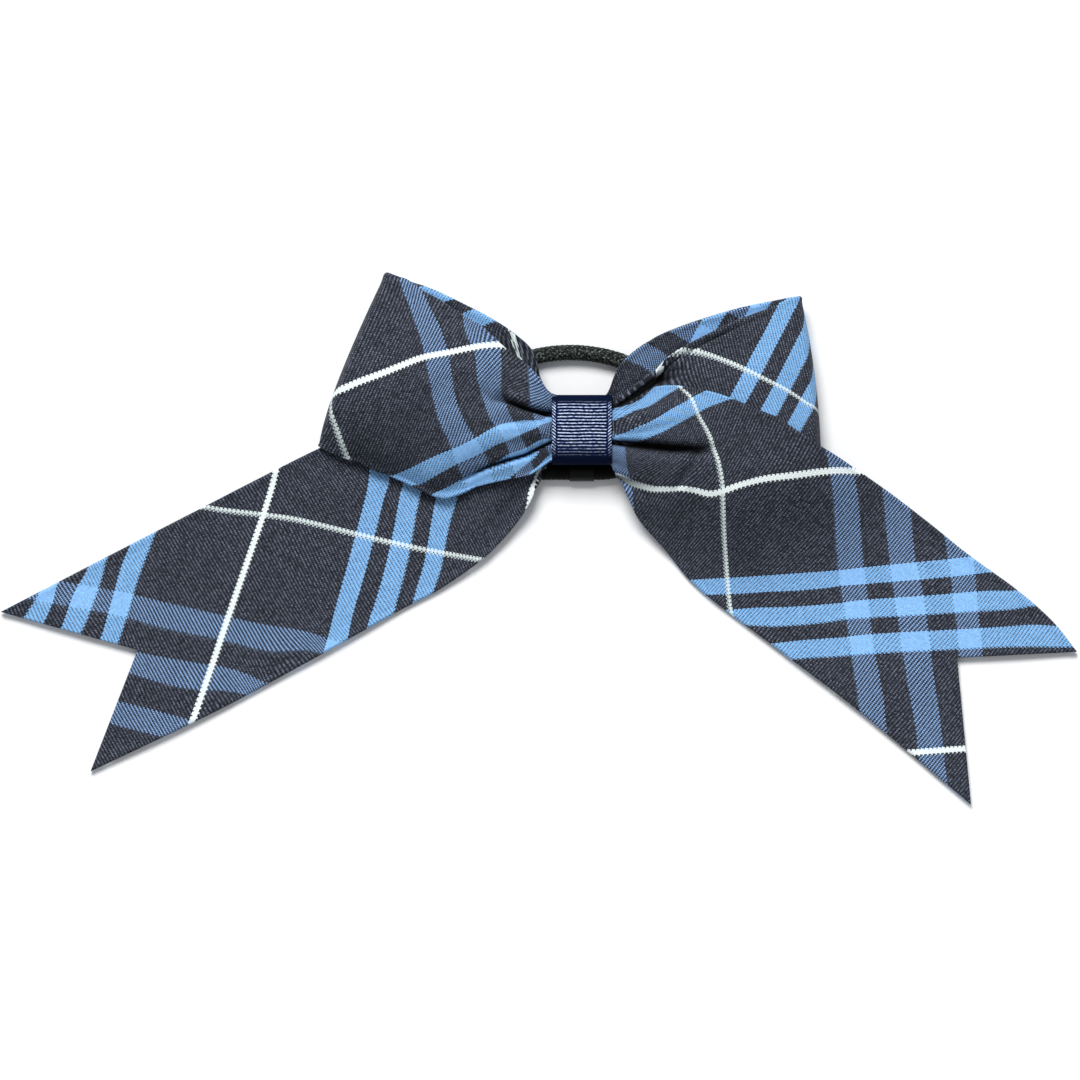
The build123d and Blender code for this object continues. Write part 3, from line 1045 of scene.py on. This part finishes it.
@dataclass
class Studio:
    """A pale sweep of floor, soft light from the top of the view, and a camera above."""

    centre: tuple[float, float] = (-11.1, -29.2)
    view_width: float = 286.5
    lens: float = 600.0
    plane_height: float = 8.0
    key_place: Mark = (-0.25, 1.0, 1.3)
    key_spread: float = 26.0
    key_power: float = 3.2
    sky_power: float = 0.42

    def build(self) -> None:
        """Set up floor, light, world and camera."""
        self.floor()
        self.light()
        world = bpy.data.worlds.new("studio")
        world.use_nodes = True
        sky = {"Color": (0.93, 0.96, 1.0, 1.0), "Strength": self.sky_power}
        plug(world.node_tree, world.node_tree.nodes["Background"], sky)
        bpy.context.scene.world = world
        bpy.context.scene.view_settings.view_transform = "Standard"
        bpy.context.scene.view_settings.look = "None"
        self.camera()

    def floor(self) -> None:
        """A matt off-white table."""
        bpy.ops.object.select_all(action="DESELECT")
        bpy.ops.mesh.primitive_plane_add(size=6.0, location=(0, 0, -0.05 * MM))
        table = bpy.context.object
        table.name = "pale_table"
        material, tree, shader = blank_material("matt_painted_board")
        place = add_node(tree, "TexCoord", out="Object")
        grain = add_node(tree, "TexNoise", {0: place, 2: 900.0})
        tones = {0: grain, 6: linear("F8F8F8"), 7: linear("FCFCFC")}
        colour = add_node(tree, "Mix", tones, **IN_COLOUR)
        plug(tree, shader, {"Base Color": colour, "Roughness": 0.9, "Specular IOR Level": 0.1})
        table.data.materials.append(material)

    def light(self) -> None:
        """A broad, even, far light that faces the bow."""
        data = bpy.data.lights.new("key", "SUN")
        data.angle = math.radians(self.key_spread)
        data.energy = self.key_power
        lamp = bpy.data.objects.new("key", data)
        bpy.context.scene.collection.objects.link(lamp)
        lamp.location = self.key_place
        away = lamp.location - Vector((self.centre[0] * MM, self.centre[1] * MM, 0.0))
        lamp.rotation_euler = away.to_track_quat("Z", "Y").to_euler()

    def camera(self) -> None:
        """A long lens straight above the bow."""
        data = bpy.data.cameras.new("view")
        data.lens = self.lens
        data.sensor_width = 36.0
        height = self.lens / data.sensor_width * self.view_width + self.plane_height
        data.clip_end = 20.0
        eye = bpy.data.objects.new("view", data)
        bpy.context.scene.collection.objects.link(eye)
        eye.location = (self.centre[0] * MM, self.centre[1] * MM, height * MM)
        bpy.context.scene.camera = eye


# The bow


LEFT_LOOP_FRONT = Layer(
    lower=((-5.8, -7.2), (-8.2, -8.2), (-13.8, -11.9), (-20.2, -13.0), (-26.8, -14.6), (-32.9, -17.5),
        (-38.2, -18.0), (-48.3, -13.5), (-58.9, -8.8), (-69.5, -4.8)),
    middle=((-5.8, 0.5), (-11.1, 1.1), (-21.8, 2.7), (-35.0, 6.6), (-48.3, 9.5), (-56.8, 11.4),
        (-64.2, 13.3)),
    upper=((-5.8, 8.5), (-8.8, 10.1), (-11.9, 14.1), (-15.4, 17.8), (-19.9, 21.2), (-23.9, 24.9),
        (-26.8, 27.6), (-32.6, 31.0), (-37.4, 34.2), (-42.7, 37.1), (-47.5, 40.3), (-51.5, 41.6)),
    levels=((-5.8, 8, 8.5), (-5.8, 0.5, 10.6), (-5.8, -7.2, 8), (-8.2, 6.6, 9.5), (-8, 0, 11.0),
        (-8.5, -4, 10.2), (-8.8, -7.4, 8.4), (-13.8, 15.4, 11.0), (-21.8, 22.0, 12.6), (-32.6, 30.5, 13.2),
        (-42.7, 36.6, 12.8), (-49.9, 40.6, 11.6), (-16.4, 9.8, 16.4), (-12.5, 7.4, 14.6),
        (-27.1, 15.9, 17.0), (-37.7, 22.5, 17.0), (-48.3, 27.9, 15.6), (-56.2, 26.5, 13.6),
        (-58.9, 21.2, 13.4), (-62.9, 11.9, 13.6), (-65.3, 6.6, 12.2), (-66.8, 0.5, 7.8),
        (-69.0, -4.2, 3.7), (-53.6, 8, 17.6), (-40.3, 8, 18.8), (-27.1, 8, 17.4), (-16.4, 0.5, 14.6),
        (-11.1, 0, 13.0), (-27.1, -2.7, 15.8), (-40.3, -5.3, 13.8), (-53.6, -1.6, 13.4), (-48.3, -12.5, 4),
        (-37.7, -16.7, 4.3), (-27.1, -13.5, 7.6), (-16.4, -11.4, 8.4), (-58.9, -8.2, 3.9),
        (-43.0, -15.1, 4), (-53.6, -6.6, 9.6), (-61.5, -2.7, 9.6), (-40.3, -12.7, 9.4)),
    creases=(
        Crease(((-6.4, 3.3, 6.5, 0.7), (-9.8, 3.7, 6.5, 0.75), (-14.6, 5, 5.2, 0.75),
            (-19.6, 6.9, 2.8, 0.9), (-23.9, 8.5, 0.3, 1.6)), right=2.6),
        Crease(((-6.9, -2.9, 4.4, 0.6), (-10.3, -4.5, 4.6, 0.7), (-15.1, -6.9, 4.6, 0.75),
            (-19.9, -8.2, 4, 0.8), (-24.9, -9.8, 3, 0.8), (-30.2, -12.2, 1.6, 0.8),
            (-35.5, -15.1, 0.2, 1)), right=1.9),
        Crease(((-21.8, 12.5, 0.9, 4.5), (-24.9, 9, 1.2, 4.5), (-27.6, 6.4, 0.2, 4.5))),
        Crease(((-34.5, 11.1, 0.7, 5), (-38.7, 7.4, 0.9, 5), (-43.0, 1.6, 0.3, 5))),
        Crease(((-8.5, -0.3, -1, 1.6), (-12.5, 0, -1.4, 2), (-20.4, -0.8, -1, 2.4),
            (-29.7, -4.2, -0.6, 3), (-40.3, -8.5, -0.2, 4))),
        Crease(((-11.1, 10.1, 0.7, 2.4), (-17.8, 11.1, 1, 2.6), (-21.8, 13.3, 0.2, 3))),
    ),
    floor=1.0,
)

LEFT_LOOP_BACK = Layer(
    lower=((-5.8, -5.3), (-13.8, -8.5), (-27.1, -11.7), (-48.3, -10.1), (-69.0, -4.2)),
    middle=((-5.8, 1.3), (-16.4, 4), (-29.7, 5.8), (-48.3, 9.3), (-63.7, 13.3)),
    upper=((-5.8, 9), (-8.8, 10.3), (-10.9, 13.8), (-11.9, 18.0), (-13.8, 22.0), (-18.8, 26.3),
        (-24.1, 29.7), (-29.4, 32.5), (-35.5, 35.5), (-41.4, 38.1), (-46.4, 39.8), (-51.2, 41.8)),
    levels=((-5.8, 8, 7), (-6.9, -6.6, 7), (-21.8, 8, 7), (-29.7, 8, 6.5), (-40.3, 8, 3), (-50.9, 8, 2.2),
        (-62.9, 11.9, 2.4), (-68.2, -2.7, 2.2), (-50.7, 39.8, 3.5), (-40.3, 36.6, 5.5), (-32.4, 32.9, 7),
        (-21.8, 26.5, 8.2), (-15.1, 21.8, 8.4)),
    floor=2.1,
)

LEFT_LOOP_WEAVE = Weave(
    crosswise=(*on(0, (-66.6, 4.5), (-64.7, 0), (-61.3, -9), (-68.2, 9)),
        *on(28.4, (-48.8, 40.3), (-45.9, 32.4), (-43.2, 24.4), (-40.1, 9.8), (-38.2, 2.7), (-35.3, -3.7),
        (-33.4, -9.3)),
        *on(35.2, (-43.2, 37.7), (-40.1, 31.0), (-36.9, 23.6), (-34.2, 9.8), (-32.1, 3.4), (-28.6, -2.4),
        (-26.0, -6.6)),
        *on(42.3, (-32.1, 31.0), (-29.2, 21.2), (-27.9, 12.5), (-26.3, 7.7), (-24.7, 3.2), (-21.2, -1.6)),
        *on(49.1, (-26.8, 27.6), (-22.8, 23.1), (-21.5, 9.8), (-18.6, 2.7)),
        *on(56.2, (-15.1, 17.8), (-14.6, 10.6), (-14.1, 5.8)),
        (-8.2, 9.3, 61.5), (-8, 3.2, 62.0), (-58.9, 39.0, 18.0), (-62.9, 23.9, 9), (-66.8, -5, -3)),
    lengthwise=(*on(0, (-68.2, 9), (-64.5, 10.3), (-58.9, 12.7), (-53.6, 14.6), (-47.7, 17.0),
        (-42.2, 19.1), (-35.3, 20.4), (-28.6, 21.8), (-22.0, 22.4)),
        *on(26.2, (-53.1, -12.7), (-40.3, -7.4), (-33.4, -4.5), (-27.3, -1.6), (-21.8, 1.3), (-15.1, 2.7),
        (-8.2, 3.2), (-9.8, 2.8), (-11.9, 2.6)),
        *on(31.1, (-46.2, -15.1), (-37.7, -11.1), (-33.4, -8.8), (-27.3, -6), (-19.9, -2.5), (-13.8, 0),
        (-8, 2.4), (-9.8, 1.6), (-11.7, 0.8)),
        *on(35.8, (-39.3, -17.0), (-35.3, -14.6), (-29.2, -11.1), (-24.7, -9), (-19.6, -6.1), (-13.8, -4),
        (-8, -1.9)),
        *on(40.6, (-35.3, -18.0), (-31.6, -16.7), (-27.1, -14.3), (-20.2, -12.7), (-16.4, -9.8),
        (-12.5, -6.9), (-8, -3.7)),
        (-9, -7.7, 47.0), (-50.9, 41.1, -22.0), (-47.7, 39.5, -21.0), (-32.6, 31.0, -10.0),
        (-15.4, 17.8, 3), (-37.7, 34.2, -15.0), (-62.9, 1.3, 9), (-65.5, -4, 13.0)),
)

LEFT_LOOP_INSIDE = Weave(
    crosswise=(*on(0, (-17.8, 23.1), (-18.8, 26.5), (-16.7, 19.4)),
        (-27.1, 22.5, -9.5), (-38.7, 36.1, -19.5), (-50.7, 37.1, -31.0), (-13.8, 8, 3), (-29.7, 8, -12.0)),
    lengthwise=(*on(28.7, (-42.7, 35.3), (-38.7, 36.1), (-35.0, 36.9)),
        *on(38.2, (-32.1, 28.1), (-27.3, 30.0), (-22.5, 31.6)),
        (-50.7, 41.9, 21.0), (-21.8, 26.5, 43.0), (-15.1, 21.2, 43.4), (-9.8, 11.9, 44.0), (-11.1, 8, 44.5)),
)

LEFT_LOOP = Loop(
    name="plaid_left_loop",
    node="left_loop",
    bodies=("knot", "left_wing"),
    blend_span=((-8.0, 0.0, 10.0), (-20.0, 0.0, 10.0)),
    front=LEFT_LOOP_FRONT,
    back=LEFT_LOOP_BACK,
    weave=LEFT_LOOP_WEAVE,
    inner_weave=LEFT_LOOP_INSIDE,
    outward=(-0.9317, 0.3633),
    flat_length=132.0,
    rests_on=("left_tail",),
)

RIGHT_LOOP_FRONT = Layer(
    lower=((5.8, -6.4), (9.5, -8), (15.4, -11.7), (26.0, -16.4), (39.3, -17.8), (52.5, -15.9),
        (63.1, -14.1)),
    middle=((5.8, 0), (11.4, 1.3), (23.3, 5.3), (36.6, 8), (49.9, 9.5), (61.8, 11.1)),
    upper=((5.8, 5.3), (7.7, 6.4), (10.6, 8.8), (13.8, 11.1), (18.8, 15.1), (22.5, 19.1), (27.3, 22.3),
        (34.5, 26.0), (40.6, 28.9), (50.9, 32.6), (57.6, 35.4)),
    levels=((5.8, 5.3, 7.6), (5.8, 0, 8.2), (5.8, -6.4, 7), (8, 6.9, 8.2), (15.4, 12.2, 11.4),
        (22.5, 18.6, 12.4), (34.5, 25.5, 12.6), (50.9, 32.1, 11.8), (57.3, 35.0, 11.0), (18.0, 2.7, 9),
        (15.4, -4, 8.6), (31.3, 9.3, 13.0), (41.9, 15.9, 13.9), (52.5, 18.6, 13.2), (61.0, 14.9, 11.4),
        (62.6, 4.8, 11.2), (47.2, 0, 13.6), (31.3, -4.2, 11.4), (26.0, -4.2, 10.4), (18.0, -8, 9),
        (63.7, -4.5, 10.8), (64.2, -13.3, 9.5), (52.5, -15.4, 10.0), (39.3, -17.2, 9.8),
        (26.0, -15.9, 8.8), (15.4, -11.4, 8), (55.2, -2.7, 12.6), (28.6, 18.6, 12.8)),
    creases=(
        Crease(((6.4, 4.5, 2.6, 1), (10.6, 6.9, 4.4, 1.3), (15.4, 10.1, 4.8, 1.6),
            (19.6, 13.0, 4, 2), (23.9, 14.6, 1.6, 2.6), (28.6, 14.9, 0, 3))),
        Crease(((8, 4.2, 1.2, 0.8), (13.8, 8.9, 1.2, 0.8), (19.4, 13.1, 1.2, 0.8),
            (22.8, 17.0, 1.1, 0.8), (27.9, 20.4, 0.9, 0.8), (34.7, 24.0, 0.8, 0.8),
            (41.9, 27.3, 0.5, 0.8), (50.4, 30.8, 0.1, 0.8))),
        Crease(((28.6, 20.7, 0.5, 5), (36.6, 21.2, 0.8, 6), (47.2, 25.2, 0.2, 6))),
    ),
    floor=1.0,
)

RIGHT_LOOP_BACK = Layer(
    lower=((5.8, -5.3), (18.0, -10.6), (31.3, -14.9), (47.2, -14.9), (62.9, -13.5)),
    middle=((5.8, 1.3), (26.0, 6.6), (47.2, 9.5), (61.5, 11.1)),
    upper=((5.8, 8.5), (7.2, 10.6), (8.8, 14.9), (10.6, 18.0), (14.6, 21.5), (19.1, 24.4), (23.6, 26.5),
        (30.2, 28.9), (36.9, 31.0), (43.5, 32.8), (50.7, 34.2), (57.3, 35.5)),
    levels=((5.8, 6.6, 5.3), (5.8, -5.3, 5.3), (22.0, 8, 5.3), (26.0, 8, 4.6), (36.6, 8, 1.6),
        (47.2, 8, 1), (63.1, 8, 1), (56.8, 34.5, 2.5), (43.5, 31.8, 4), (31.3, 28.6, 6), (23.9, 25.7, 7),
        (15.4, 21.2, 7.4), (9.5, 15.4, 7), (31.3, -15.9, 1.5), (63.1, -13.3, 1)),
    floor=0.95,
)

RIGHT_LOOP_WEAVE = Weave(
    crosswise=(*on(0, (22.3, 20.4), (27.3, 20.8), (31.0, 20.4), (36.6, 18.6), (42.4, 16.2), (49.1, 13.0),
        (55.7, 9.5), (61.8, 5.3)),
        (46.4, 24.4, 9.3), (38.5, 8, -9.3), (59.2, 1.3, -8.6), (18.0, 15.4, -1.5), (18.6, 11.9, -2.2),
        (16.4, 9.8, -4), (52.5, -2.7, -17.0), (31.3, -10.6, -28.0), (10.1, -2.7, -18.0), (28.6, 5.3, -15.0)),
    lengthwise=(*on(28.7, (46.2, 17.2), (41.4, 8.2), (53.8, 31.8), (36.6, -0.8)),
        *on(38.2, (53.3, 11.9), (49.6, 4.9), (58.4, 22.0), (44.6, -4.8)),
        *on(47.7, (57.8, 4), (56.1, 0.8), (62.1, 11.9), (52.5, -5.8)),
        *on(0, (20.2, 15.9), (19.5, 13.5), (17.5, 11.7), (15.4, 10.1), (10.6, 6.9)),
        (18.0, 9.8, 2.5), (21.2, 11.9, 3.4), (16.7, 13.8, -2.4), (31.3, 13.3, 14.6), (36.6, 23.9, 15.0),
        (10.1, 4.2, 3), (7.4, -2.7, 4), (26.0, -2.7, 14.0)),
)

RIGHT_LOOP_INSIDE = Weave(
    crosswise=(*on(31.8, (18.0, 19.1), (13.3, 20.7), (21.0, 16.4)),
        (27.6, 26.8, 45.7), (32.6, 23.9, 45.7), (10.1, 13.3, 22.0), (47.2, 31.8, 62.0)),
    lengthwise=(*on(28.7, (32.9, 26.8), (30.5, 22.5), (35.3, 31.0)),
        (46.7, 31.8, 38.2), (45.1, 28.6, 38.2), (18.0, 19.1, 14.5), (10.1, 13.3, 7), (57.3, 34.5, 49.0)),
)

RIGHT_LOOP = Loop(
    name="plaid_right_loop",
    node="right_loop",
    bodies=("knot", "right_wing"),
    blend_span=((8.0, 0.0, 8.0), (20.0, 0.0, 8.0)),
    front=RIGHT_LOOP_FRONT,
    back=RIGHT_LOOP_BACK,
    weave=RIGHT_LOOP_WEAVE,
    inner_weave=RIGHT_LOOP_INSIDE,
    outward=(0.9912, 0.1323),
    flat_length=130.0,
    rests_on=("elastic_sheath",),
)

LEFT_TAIL_LAYER = Layer(
    lower=((-5.8, -8), (-8.8, -8.8), (-11.1, -12.5), (-13.3, -18.3), (-16.4, -23.5), (-21.8, -30.0),
        (-27.1, -34.9), (-37.7, -42.3), (-48.3, -47.9), (-64.2, -56.8), (-74.8, -62.7), (-97.3, -74.8),
        (-130.5, -90.7)),
    middle=((-5.8, -5.3), (-9.8, -5.8), (-21.8, -10.6), (-48.3, -23.9), (-74.8, -36.6), (-118.0, -58.4)),
    upper=((-5.8, -3.2), (-16.4, -0.5), (-29.7, 1.6), (-43.0, 2.1), (-58.9, -0.8), (-70.8, -5.3),
        (-111.9, -26.3), (-154.4, -48.3)),
    levels=((-5.8, -5.3, 5.4), (-27.1, -2.7, 5.4), (-28.6, -2.7, 5.2), (-37.7, -5.3, 3), (-44.0, -5.3, 1),
        (-53.6, -5.3, 1.05), (-9.8, -9.5, 5.3), (-13.8, -17.2, 5), (-20.4, -18.6, 4.4),
        (-27.1, -23.9, 3.4), (-29.7, -34.5, 2), (-37.7, -23.9, 1.4), (-48.3, -34.5, 1.05),
        (-74.8, -18.6, 1.05), (-154.4, -48.3, 1.05), (-130.5, -90.7, 1.05), (-118.0, -58.4, 1.05),
        (-64.2, -59.7, 1.05), (-37.7, -43.8, 0.95), (-17.0, -26.0, 2.8), (-24.4, -13.3, 5.2),
        (-101.3, -45.1, 1.05)),
    creases=(
        Crease(((-11.1, -10.6, 1.2, 1.6), (-17.8, -18.6, 1, 2.4), (-25.7, -29.2, 0.4, 3.2))),
        Crease(((-40.3, -22.5, -0.5, 5), (-48.3, -34.5, -0.6, 6), (-56.2, -47.7, -0.2, 6))),
    ),
    straight=True,
)

LEFT_TAIL_WEAVE = Weave(
    crosswise=(*on(0, (-96.9, -21.1), (-76.8, -23.7), (-58.9, -28.0), (-26.0, -34.6)),
        *on(-28.4, (-135.0, -41.0), (-101.3, -48.1), (-67.8, -55.5)),
        (-120.1, -50.6, -35.2), (-70.8, -59.2, -35.2), (-117.1, -59.5, -42.3), (-84.2, -67.4, -42.3),
        (-119.3, -65.2, -49.1), (-90.2, -70.4, -49.1), (-121.8, -72.7, -56.2), (-102.9, -77.4, -56.2),
        (-123.8, -78.6, -63.0), (-111.1, -81.9, -63.0), (-13.0, -15.6, 20.0), (-69.5, -5.3, 19.5),
        (-29.7, -2.7, 30.0)),
    lengthwise=(*on(0, (-81.5, -11.5), (-86.5, -27.9), (-94.7, -51.7), (-102.9, -75.6)),
        *on(26.2, (-56.6, -12.9), (-68.5, -58.5), (-60.5, -29.2)),
        *on(31.1, (-51.4, -14.4), (-62.6, -57.0), (-55.4, -29.2)),
        *on(35.8, (-48.1, -16.7), (-56.6, -51.0), (-50.4, -29.2)),
        *on(40.6, (-43.2, -17.7), (-50.6, -49.5), (-45.4, -29.2)),
        *on(45.2, (-38.7, -18.2), (-40.8, -29.2), (-44.7, -45.0), (-42.4, -37.1)),
        *on(50.1, (-33.5, -18.9), (-36.2, -29.2), (-37.7, -37.1), (-39.4, -42.0)),
        (-114.1, -29.1, -26.2), (-123.3, -56.2, -26.2), (-120.1, -31.1, -31.1), (-127.5, -54.7, -31.1),
        (-126.8, -35.3, -35.8), (-133.5, -54.0, -35.8), (-131.2, -36.8, -40.6), (-138.2, -52.5, -40.6),
        (-139.4, -41.3, -45.2), (-143.2, -51.7, -45.2), (-143.9, -43.2, -50.1), (-147.7, -49.5, -50.1),
        (-12.1, -12.7, 76.4), (-13.8, -18.6, 76.4), (-21.8, -18.6, 66.0), (-27.1, -2.7, 52.0),
        (-53.6, 0, 29.0)),
)

LEFT_TAIL = Tail(
    name="plaid_left_tail",
    node="left_tail",
    bodies=("knot", "left_wing"),
    blend_span=((-8.0, 0.0, 6.0), (-20.0, 0.0, 6.0)),
    layer=LEFT_TAIL_LAYER,
    weave=LEFT_TAIL_WEAVE,
    flat_length=160.0,
    notch_depth=26.8,
    rests_on=("elastic_sheath",),
)

RIGHT_TAIL_LAYER = Layer(
    lower=((5.8, -8.2), (8, -9), (9.8, -12.7), (12.7, -18.3), (15.4, -23.9), (22.0, -31.6), (31.3, -42.4),
        (52.5, -58.6), (73.7, -74.8), (103.4, -99.5)),
    middle=((5.8, -1.9), (11.4, -2.7), (20.7, -5), (34.0, -12.7), (49.9, -23.3), (73.7, -40.8),
        (99.7, -60.5)),
    upper=((5.8, 5.8), (8.2, 5.6), (11.4, 6.2), (14.6, 7.4), (17.5, 9.8), (19.9, 11.4), (25.5, 11.7),
        (33.4, 10.3), (39.3, 8.5), (47.7, 5), (51.5, 3.4), (57.6, -0.5), (63.7, -4.5), (68.4, -7.4),
        (81.4, -16.4), (92.3, -24.7), (102.9, -33.2), (114.9, -41.9), (124.7, -50.4), (131.6, -58.9)),
    levels=((5.8, 5.3, 9.6), (5.8, -1.9, 10.8), (5.8, -8.2, 8.2), (8, 5.3, 11.0), (8, -1.6, 12.4),
        (8, -8.8, 8.8), (15.4, 6.9, 15.2), (25.5, 10.9, 15.8), (39.3, 8, 15.8), (51.5, 3.2, 14.8),
        (61.0, -2.9, 12.6), (31.3, -2.7, 16.2), (18.0, 0, 16.2), (47.2, -5.3, 15.2), (57.8, -10.6, 13.0),
        (15.4, -12.7, 11.8), (26.0, -15.4, 13.4), (36.6, -16.4, 14.2), (49.9, -15.9, 13.2),
        (63.7, -14.6, 9.5), (12.7, -18.3, 7), (16.7, -23.9, 4.6), (31.3, -26.5, 7.2), (47.2, -26.5, 7.4),
        (63.1, -23.9, 5.8), (67.4, -8, 9.2), (73.7, -18.6, 4.6), (31.3, -38.5, 1.4), (28.6, -34.5, 2.2),
        (47.2, -37.1, 2.2), (65.8, -34.5, 2.2), (79.0, -23.9, 2.2), (84.4, -34.5, 1.05),
        (36.6, -45.1, 1.05), (57.8, -50.4, 1.05), (71.1, -71.6, 1.05), (100.3, -58.4, 1.05),
        (131.6, -58.9, 1.05), (103.4, -99.5, 1.05), (97.6, -34.5, 1.05)),
    creases=(
        Crease(((6.4, -2.9, 5.5, 0.9), (10.6, -3.2, 6.2, 1.1), (16.7, -3.7, 5.8, 1.4),
            (23.9, -4.5, 4.6, 1.5), (31.3, -5, 2.6, 1.5), (37.1, -5, 0.1, 1.8)), right=1.7),
        Crease(((8.5, 0.5, -0.8, 1.8), (15.4, 2.1, -1.2, 2.4), (28.6, 6.4, -0.6, 3.5))),
        Crease(((8, -11.4, 2.6, 1), (12.7, -13.3, 2.2, 1.4), (19.4, -15.6, 1.1, 2),
            (26.0, -16.2, 0, 2.6)), right=1.8),
        Crease(((8, -6.1, -0.6, 1.6), (12.7, -7.7, -1.2, 2.2), (19.4, -9.8, -1, 2.6),
            (23.9, -10.6, -0.3, 2.6))),
        Crease(((28.6, -6.9, -0.7, 1.9), (24.9, -10.6, -1.1, 2), (22.8, -14.9, -0.5, 2.2))),
        Crease(((30.5, -7.4, 0.6, 1.8), (27.1, -11.7, 0.9, 1.8), (24.9, -15.4, 0.4, 2))),
        Crease(((31.3, -14.9, 0.7, 3), (28.6, -23.9, 1, 4.5), (27.1, -32.4, 0.4, 5))),
        Crease(((40.6, -18.6, -0.6, 5), (44.0, -29.2, -0.8, 6), (49.9, -42.4, -0.2, 7))),
    ),
    straight=True,
)

RIGHT_TAIL_WEAVE = Weave(
    crosswise=(*on(0, (25.7, 11.4), (28.4, 8.8), (30.5, 4.2), (32.9, 0), (35.0, -5), (36.3, -9.8),
        (37.1, -14.6), (37.4, -20.2), (37.7, -26.5), (39.3, -47.2)),
        *on(-28.4, (11.4, -5.3), (12.2, -9.8), (13.3, -15.9)),
        *on(28.4, (64.1, -6), (66.1, -17.3), (68.1, -40.0), (70.8, -56.0), (73.4, -74.6)),
        *on(35.2, (71.5, -10.7), (74.1, -33.3), (76.8, -56.0), (80.5, -80.0)),
        *on(42.3, (79.4, -16.0), (81.4, -33.3), (84.1, -53.3), (88.5, -80.0)),
        *on(49.1, (86.8, -20.7), (88.1, -33.3), (92.1, -56.0), (96.1, -88.0)),
        *on(56.2, (95.7, -27.3), (97.4, -36.0), (99.4, -53.3)),
        *on(63.0, (103.4, -32.7), (104.8, -46.7), (106.1, -60.0)),
        (8, -5.8, -34.0), (9, -13.3, -35.0), (15.4, 7.2, -21.0), (8, 4, -25.0), (18.0, -0.5, -19.0)),
    lengthwise=(*on(26.2, (26.0, -39.9), (30.8, -39.6), (68.8, -37.1), (103.4, -33.6)),
        *on(31.1, (26.0, -44.2), (34.8, -43.6), (68.8, -41.3), (109.0, -37.7)),
        *on(0, (8.5, -11.1), (12.2, -13.3), (17.0, -14.7), (22.5, -15.3), (27.3, -15.3), (30.5, -15.8),
        (33.7, -16.7), (37.7, -15.9), (41.6, -14.5), (47.7, -12.9), (55.7, -11.9), (68.4, -10.6),
        (72.1, -10.7)),
        *on(-26.2, (15.4, -2.4), (20.7, -0.8), (27.3, 2.9), (33.4, 6.1), (39.3, 8.2)),
        *on(-31.1, (8, -2.1), (17.0, 1.6), (27.3, 7.2), (32.9, 10.3)),
        *on(-35.8, (8, 2.4), (14.6, 5.3), (20.7, 8.2), (25.5, 11.1)),
        *on(-40.6, (7.4, 4.8), (14.6, 7.2), (19.6, 11.4)),
        *on(35.8, (40.5, -47.7), (68.8, -46.0), (115.2, -42.7)),
        *on(40.6, (45.1, -51.6), (70.1, -50.0), (120.1, -46.4)),
        *on(45.2, (49.9, -56.7), (70.1, -55.0), (125.4, -52.0)),
        *on(50.1, (56.1, -60.6), (71.5, -59.6), (130.8, -57.3)),
        (13.3, -16.2, 2.1), (18.0, -17.5, 2.1), (13.3, -11.1, -2.1), (18.0, -13.0, -2.1),
        (85.4, -85.7, 76.4), (101.4, -84.6, 76.4), (55.2, 4, -15.0)),
)

RIGHT_TAIL = Tail(
    name="plaid_right_tail",
    node="right_tail",
    bodies=("right_wing", "right_tail"),
    blend_span=((8.0, 0.0, 12.0), (20.0, 0.0, 12.0)),
    layer=RIGHT_TAIL_LAYER,
    weave=RIGHT_TAIL_WEAVE,
    flat_length=143.0,
    notch_depth=24.4,
    rests_on=("right_loop",),
)


def main() -> None:
    """Build the bow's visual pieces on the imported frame."""
    logging.basicConfig(level=logging.INFO, format="%(message)s")
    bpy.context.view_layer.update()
    twill = PlaidTwill()
    outer, inner = twill.build(Ply.OUTER), twill.build(Ply.INNER)
    maker = ClothMaker(outer, inner)
    for part in (LEFT_TAIL, LEFT_LOOP, RIGHT_LOOP, RIGHT_TAIL):
        part.build(maker)
    KnotWrap().build(GrosgrainSatin().build())
    HairElastic().build(BraidedCover().build())
    # The keeper's near-black colour is its own black, darkened further as painted shade under the knot
    shaded_keeper = PlainFinish("black_satin_ribbon", "020203", "0B0B0E", 700.0, 0.4, True).build()
    rubber = PlainFinish("extruded_latex_rubber", "B9A98A", "CDBFA2", 500.0, 0.6).build()
    thread = PlainFinish("spun_polyester_thread", "12121A", "2A2A36", 2500.0, 0.7, True).build()
    glue = PlainFinish("set_hot_melt_glue", "D9D4C4", "EFECE2", 300.0, 0.25).build()
    bundle = PlainFinish("gathered_twill_edges", "15151B", "34333C", 900.0, 0.9, True).build()
    SmallParts(
        {
            "elastic_keeper": shaded_keeper,
            "elastic_core": rubber,
            "cinch_thread": thread,
            "glue_pads": glue,
            "back_gather": bundle,
            "middle_gather": bundle,
            "front_gather": bundle,
        }
    ).dress()
    Studio().build()


if __name__ == "__main__":
    main()
